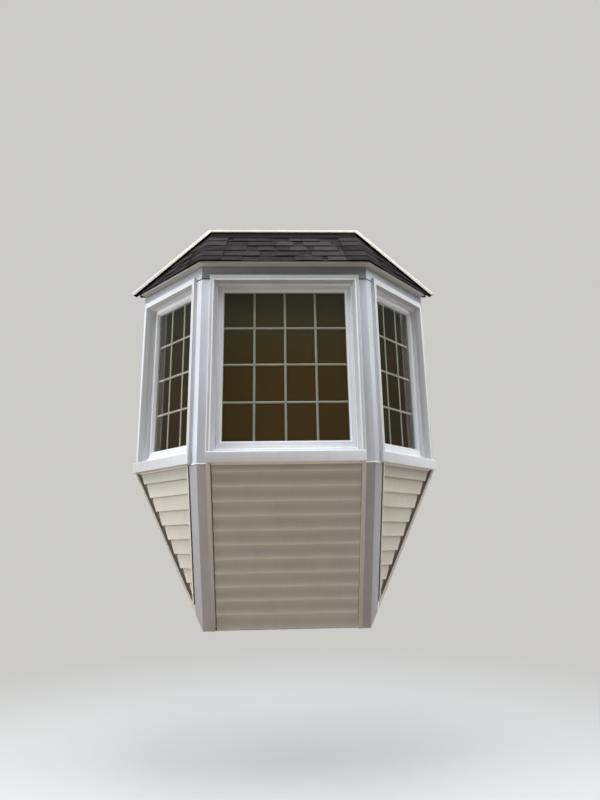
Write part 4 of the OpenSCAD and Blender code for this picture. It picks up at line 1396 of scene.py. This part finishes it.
def eave_end(face, point):
    return EAVE_END_SHADE if point.z < eave_z + EAVE_SHADE_HEIGHT and abs(point.x) > EAVE_SHADE_FROM else 0.0


for node in ("roof_deck_left", "roof_deck_right", "rafters"):
    shaded(node + "_wood", eave_end)
print("damp below", round(eave_z + EAVE_SHADE_HEIGHT, 3))

# %% [markdown]
# What belongs to a window is built as if the window faced straight ahead, and a matrix then turns it
# and puts it in place. The middle of the window's glass gives the place.

# %% Window directions


def window_matrix(which):
    points = [v.co for v in nodes["glass_" + which].data.vertices]
    centre = sum(points, Vector()) / len(points)
    return Matrix.Translation(centre) @ Matrix.Rotation(WINDOW_TURN[which], 4, "Z")


def local_box(node, matrix):
    """The corners of a piece's box, seen straight from the front of its window."""
    inverse = matrix.inverted()
    points = [inverse @ v.co for v in nodes[node].data.vertices]
    return [Vector([pick(p[i] for p in points) for i in range(3)]) for pick in (min, max)]


window_place = {which: window_matrix(which) for which in WINDOW_TURN}
print("windows at", {which: [round(v, 3) for v in m.translation] for which, m in window_place.items()})

# %% [markdown]
# Two plain shapes make most of a sealed glass unit: a slab, for the panes, and a mitred ring, for
# the spacer that runs all around between them.

# %% Slabs and rings
CORNERS = ((-1, -1), (1, -1), (1, 1), (-1, 1))


def slab(low, high):
    bm = bmesh.new()
    bmesh.ops.create_cube(bm, size=1)
    middle = (Vector(low) + Vector(high)) / 2
    size = Vector(high) - Vector(low)
    matrix = Matrix.Translation(middle) @ Matrix.Diagonal((*size, 1))
    bmesh.ops.transform(bm, matrix=matrix, verts=bm.verts)
    mesh = bpy.data.meshes.new("slab")
    bm.to_mesh(mesh)
    bm.free()
    return mesh


def ring(half_x, half_z, width, y0, y1):
    """A mitred frame around a window, with the given face width, between two depths."""
    verts = []
    for y in (y0, y1):
        for inset in (0, width):
            verts += [(x * (half_x - inset), y, z * (half_z - inset)) for x, z in CORNERS]
    faces = []
    for i in range(4):
        k = (i + 1) % 4
        faces += [(i, k, 4 + k, 4 + i), (8 + i, 12 + i, 12 + k, 8 + k), (i, 8 + i, 8 + k, k),
                  (4 + i, 4 + k, 12 + k, 12 + i)]
    mesh = bpy.data.meshes.new("ring")
    mesh.from_pydata(verts, [], faces)
    return cut(mesh, [])


print("corners of a ring:", 4 * len(CORNERS))

# %% [markdown]
# A grille of flat bars divides the view into lites. One Geometry Nodes tree makes all three grilles,
# with the number of lites and the size of a bar as inputs. It sets bars on a line of points, once
# for the upright ones and once more, turned by a quarter, for the level ones. A bar has eight sides,
# a flattened octagon.

# %% Tree of the grille
OCTAGON_RADIUS = 0.5412


def bars(tree, section, number, across, length, turn):
    """As many bars as part the given width into that number of lites."""
    step = math_node(tree, "DIVIDE", across, number)
    first = math_node(tree, "SUBTRACT", step, math_node(tree, "MULTIPLY", across, 0.5))
    line = add(tree, "GeometryNodeMeshLine", {
        "Count": math_node(tree, "SUBTRACT", number, 1.0),
        "Start Location": add(tree, "ShaderNodeCombineXYZ", {0: first}).outputs[0],
        "Offset": add(tree, "ShaderNodeCombineXYZ", {0: step}).outputs[0]})
    half = math_node(tree, "MULTIPLY", length, 0.5)
    low = add(tree, "ShaderNodeCombineXYZ", {2: math_node(tree, "MULTIPLY", half, -1.0)}).outputs[0]
    high = add(tree, "ShaderNodeCombineXYZ", {2: half}).outputs[0]
    axis = add(tree, "GeometryNodeCurvePrimitiveLine", {"Start": low, "End": high})
    bar = add(tree, "GeometryNodeCurveToMesh", {
        "Curve": axis.outputs[0], "Profile Curve": section, "Fill Caps": True})
    copies = add(tree, "GeometryNodeInstanceOnPoints", {
        "Points": line.outputs[0], "Instance": bar.outputs[0]})
    turned = {"Geometry": copies.outputs[0], "Rotation": (0, turn, 0)}
    return add(tree, "GeometryNodeTransform", turned).outputs[0]


def grille_tree():
    tree, given, made = new_group("grille", "GeometryNodeTree", [
        ("Geometry", "NodeSocketGeometry", None), ("Width", FLOAT, 0.86), ("Height", FLOAT, 1.07),
        ("Columns", "NodeSocketInt", 4), ("Rows", "NodeSocketInt", 4), ("Bar Width", FLOAT, 0.0175),
        ("Bar Depth", FLOAT, 0.008), ("Material", "NodeSocketMaterial", None),
    ], [("Geometry", "NodeSocketGeometry")])
    circle = {"Resolution": 8, "Radius": OCTAGON_RADIUS}
    octagon = add(tree, "GeometryNodeCurvePrimitiveCircle", circle).outputs[0]
    size = {0: given["Bar Width"], 1: given["Bar Depth"], 2: 1.0}
    flat = add(tree, "ShaderNodeCombineXYZ", size).outputs[0]
    turned = {"Geometry": octagon, "Rotation": (0, 0, math.pi / 8)}
    section = add(tree, "GeometryNodeTransform", turned).outputs[0]
    section = add(tree, "GeometryNodeTransform", {"Geometry": section, "Scale": flat}).outputs[0]
    upright = bars(tree, section, given["Columns"], given["Width"], given["Height"], 0.0)
    level = bars(tree, section, given["Rows"], given["Height"], given["Width"], math.pi / 2)
    join = add(tree, "GeometryNodeJoinGeometry")
    tree.links.new(upright, join.inputs[0])
    tree.links.new(level, join.inputs[0])
    tree_end(tree, join.outputs[0], given, made)
    return tree


GRILLE = grille_tree()
print("tree:", GRILLE.name, "with", len(GRILLE.nodes), "nodes")

# %% [markdown]
# A sealed unit is two panes, the spacer between their edges and, in the middle, the grille. The dark
# sheet of painted shade lies there too, and the bars reach through it, so they show from both sides.
# The window's frame covers the edge of the unit, and the bars end just under it.

# %% Glass units
PANE = 0.003
SHADE_SHEET = 0.0006
SHADE_SHEET_MARGIN = 0.001
SPACER_WIDTH = 0.0145
SPACER_MARGIN = 0.0005
SPACER_GAP = 0.0002
SPACER_EDGE = 0.0006
SIGHT_MARGIN = 0.012
BAR_WIDTH = 0.0155
BAR_DEPTH = 0.009
LITES = {"center": (4, 4), "left": (3, 4), "right": (3, 4)}


def glass_unit(which, columns, rows):
    node = "glass_" + which
    matrix = window_place[which]
    half_x, depth, half_z = local_box(node, matrix)[1]
    outer = slab((-half_x, -depth, -half_z), (half_x, PANE - depth, half_z))
    inner = slab((-half_x, depth - PANE, -half_z), (half_x, depth, half_z))
    panes = joined("panes", [outer, inner])
    # The dark sheet between the panes is painted shade for the unlit room.
    sheet_x = half_x - SHADE_SHEET_MARGIN
    sheet_z = half_z - SHADE_SHEET_MARGIN
    room_shade_sheet = slab((-sheet_x, -SHADE_SHEET / 2, -sheet_z), (sheet_x, SHADE_SHEET / 2, sheet_z))
    back = depth - PANE - SPACER_GAP
    spacer = ring(half_x - SPACER_MARGIN, half_z - SPACER_MARGIN, SPACER_WIDTH, -back, back)
    sight = [2 * (half - SIGHT_MARGIN) for half in (half_x, half_z)]
    grille = baked(GRILLE, {
        "Width": sight[0], "Height": sight[1], "Columns": columns, "Rows": rows,
        "Bar Width": BAR_WIDTH, "Bar Depth": BAR_DEPTH, "Material": FINISH["grille"]})
    for mesh in (panes, room_shade_sheet, spacer, grille):
        mesh.transform(matrix)
    show("panes_" + which, panes, "glass", [node], "window_glass")
    show("tint_" + which, room_shade_sheet, "tint_center" if which == "center" else "tint_side", [node])
    ease(show("spacer_" + which, spacer, "spacer", [node]), SPACER_EDGE)
    show("grille_" + which, grille, "grille", [node])
    print(which, "lites:", columns * rows, "glass", [round(size, 3) for size in sight])


for which, (columns, rows) in LITES.items():
    glass_unit(which, columns, rows)

# %% [markdown]
# Sealant is pressed out of a tube along the joints that rain could reach, and smoothed with a
# finger. Each bead is a path of points. A Geometry Nodes tree turns the path into a curve and sweeps
# a circle along it, and half of the bead sinks into the joint. No hand is quite steady, so between
# the corners the path wanders a little.

# %% Tree of the beads
BEAD_SIDES = 10
BEAD_STEP = 0.03
BEAD_WANDER = 0.0003


def bead_tree():
    tree, given, made = new_group("bead", "GeometryNodeTree", [
        ("Geometry", "NodeSocketGeometry", None), ("Radius", FLOAT, 0.003),
        ("Sides", "NodeSocketInt", 10), ("Material", "NodeSocketMaterial", None),
    ], [("Geometry", "NodeSocketGeometry")])
    path = add(tree, "GeometryNodeMeshToCurve", {"Mesh": given["Geometry"]})
    size = {"Resolution": given["Sides"], "Radius": given["Radius"]}
    circle = add(tree, "GeometryNodeCurvePrimitiveCircle", size)
    tube = add(tree, "GeometryNodeCurveToMesh", {
        "Curve": path.outputs[0], "Profile Curve": circle.outputs[0], "Fill Caps": True})
    tree_end(tree, tube.outputs[0], given, made)
    return tree


BEAD = bead_tree()


def bead(points, radius, finish="sealant"):
    """One bead through the given corner points, with a slightly uneven run between them."""
    dice = random.Random(len(points) + radius)
    verts = []
    for start, end in zip(points, points[1:]):
        count = max(1, round((end - start).length / BEAD_STEP))
        for i in range(count):
            shift = Vector([dice.uniform(-1, 1) * BEAD_WANDER for _ in range(3)])
            verts.append(start.lerp(end, i / count) + shift * (i > 0))
    verts.append(points[-1])
    path = bpy.data.meshes.new("path")
    path.from_pydata(verts, [(i, i + 1) for i in range(len(verts) - 1)], [])
    mesh = baked(BEAD, {"Radius": radius, "Sides": BEAD_SIDES, "Material": FINISH[finish]}, path)
    return cut(mesh, [])


def show_bead(name, mesh, finish, node):
    mesh.shade_smooth()
    show(name, mesh, finish, [node])


print("tree:", BEAD.name, "with", len(BEAD.nodes), "nodes")

# %% [markdown]
# Four beads belong to each window. One lies where the casing's splay meets the frame, and one behind
# the casing's outer rim. Both run up one side, over the head and down the other. Two more lie level
# at the foot, in front of the frame and in front of the sash.

# %% Beads around the windows
SPLAY_BEAD = 0.0048
RIM_BEAD = 0.003
FRAME_BEAD = 0.003
SASH_BEAD = 0.0085
SPLAY_IN, SPLAY_BACK, SPLAY_DOWN = 0.022, 0.0016, 0.038
RIM_OUT, RIM_BACK = 0.0012, 0.0195
FOOT_IN = 0.048
FOOT_DOWN = 0.002
FRAME_FRONT, FRAME_UP = 0.001, 0.0015
SASH_BACK, SASH_UP = 0.0215, 0.0115


def arch(x, y, foot, head):
    return [Vector((-x, y, foot)), Vector((-x, y, head)), Vector((x, y, head)), Vector((x, y, foot))]


def level_run(x, y, z):
    return [Vector((-x, y, z)), Vector((x, y, z))]


def window_beads(which):
    matrix = window_place[which]
    low, high = local_box("casing_" + which, matrix)
    sill_top = local_box("sill_" + which, matrix)[1].z
    frame_face = local_box("window_frame_" + which, matrix)[0].y
    foot = sill_top - FOOT_DOWN
    width = high.x - FOOT_IN
    runs = (
        (arch(high.x - SPLAY_IN, low.y + SPLAY_BACK, foot, high.z - SPLAY_DOWN), SPLAY_BEAD),
        (arch(high.x + RIM_OUT, low.y + RIM_BACK, foot, high.z + RIM_OUT), RIM_BEAD),
        (level_run(width, frame_face - FRAME_FRONT, sill_top + FRAME_UP), FRAME_BEAD),
        (level_run(width, frame_face + SASH_BACK, sill_top + SASH_UP), SASH_BEAD),
    )
    mesh = joined("beads", [bead(points, radius) for points, radius in runs])
    mesh.transform(matrix)
    show_bead("beads_" + which, mesh, "sealant", "casing_" + which)


for which in WINDOW_TURN:
    window_beads(which)
print("beads around", len(WINDOW_TURN), "windows")

# %% [markdown]
# Each corner post has a joint at its foot, closed with sealant, and one under the frieze, closed with
# roof cement. The bead follows the front of the post and turns the corner. Cement also seals the
# edge of the hip caps on the front field. Its black is also painted shadow: in the joint under the
# frieze, and along the edge of the hip caps.

# %% Beads at the posts and hips
POST_BEAD = {"foot": 0.0042, "head": 0.0036}
POST_FINISH = {"foot": "sealant", "head": "cement"}
POST_SINK = 0.001
SIDE_RUN = 0.058
SAME_PLANE = 1e-4
HIP_BEAD = 0.0032
HIP_FROM, HIP_SHORT = 0.004, 0.08
HIP_TUCK, HIP_RISE = 0.001, 0.007

post_low, post_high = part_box("corner_post_right")
post_level = {
    "foot": (post_low.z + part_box("skirt_post_right")[1].z) / 2,
    "head": (post_high.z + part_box("frieze_front")[0].z) / 2,
}
post_points = [v.co for v in nodes["corner_post_right"].data.vertices]
post_front = [point.x for point in post_points if point.y < post_low.y + SAME_PLANE]
cap_edge = min(abs(v.co.x) for v in nodes["hip_cap_right"].data.vertices)
cap_length = (roof_top - eave_z) / roof_slope.col[1].z


def post_bead(side, sign, place):
    corner = Vector((sign * max(post_front), post_low.y + POST_SINK, post_level[place]))
    start = Vector((sign * min(post_front), corner.y, corner.z))
    end = corner + Vector((sign, 1, 0)).normalized() * SIDE_RUN
    mesh = bead([start, corner, end], POST_BEAD[place], POST_FINISH[place])
    show_bead("bead_" + place + "_" + side, mesh, POST_FINISH[place], "corner_post_" + side)


for side, sign in SIDES.items():
    for place in POST_BEAD:
        post_bead(side, sign, place)
    ends = (HIP_FROM, cap_length - HIP_SHORT)
    run = [roof_slope @ Vector((sign * (cap_edge - HIP_TUCK), t, HIP_RISE)) for t in ends]
    show_bead("cement_" + side, bead(run, HIP_BEAD, "cement"), "cement", "hip_cap_" + side)
print("post joints at", {place: round(z, 4) for place, z in post_level.items()})

# %% [markdown]
# A short bead of the darkest finish, cut off flat at the back, closes the foot of the open groove
# beside the left post of the skirt, as painted shade there.

# %% Plug in the groove
PLUG_RADIUS = 0.0038
PLUG_SIDE = 0.0035
PLUG_DEPTH = 0.0045
PLUG_RUN = (0.0045, 0.03)

run = [front_slope @ Vector((front_low.x - PLUG_SIDE, t, -PLUG_DEPTH)) for t in PLUG_RUN]
plug = cut(bead(run, PLUG_RADIUS, "cement"), [(Vector(), BACKWARD)])
show("groove_plug", plug, "cement", ["skirt_channels"])
print("faces of the plug:", len(plug.polygons))
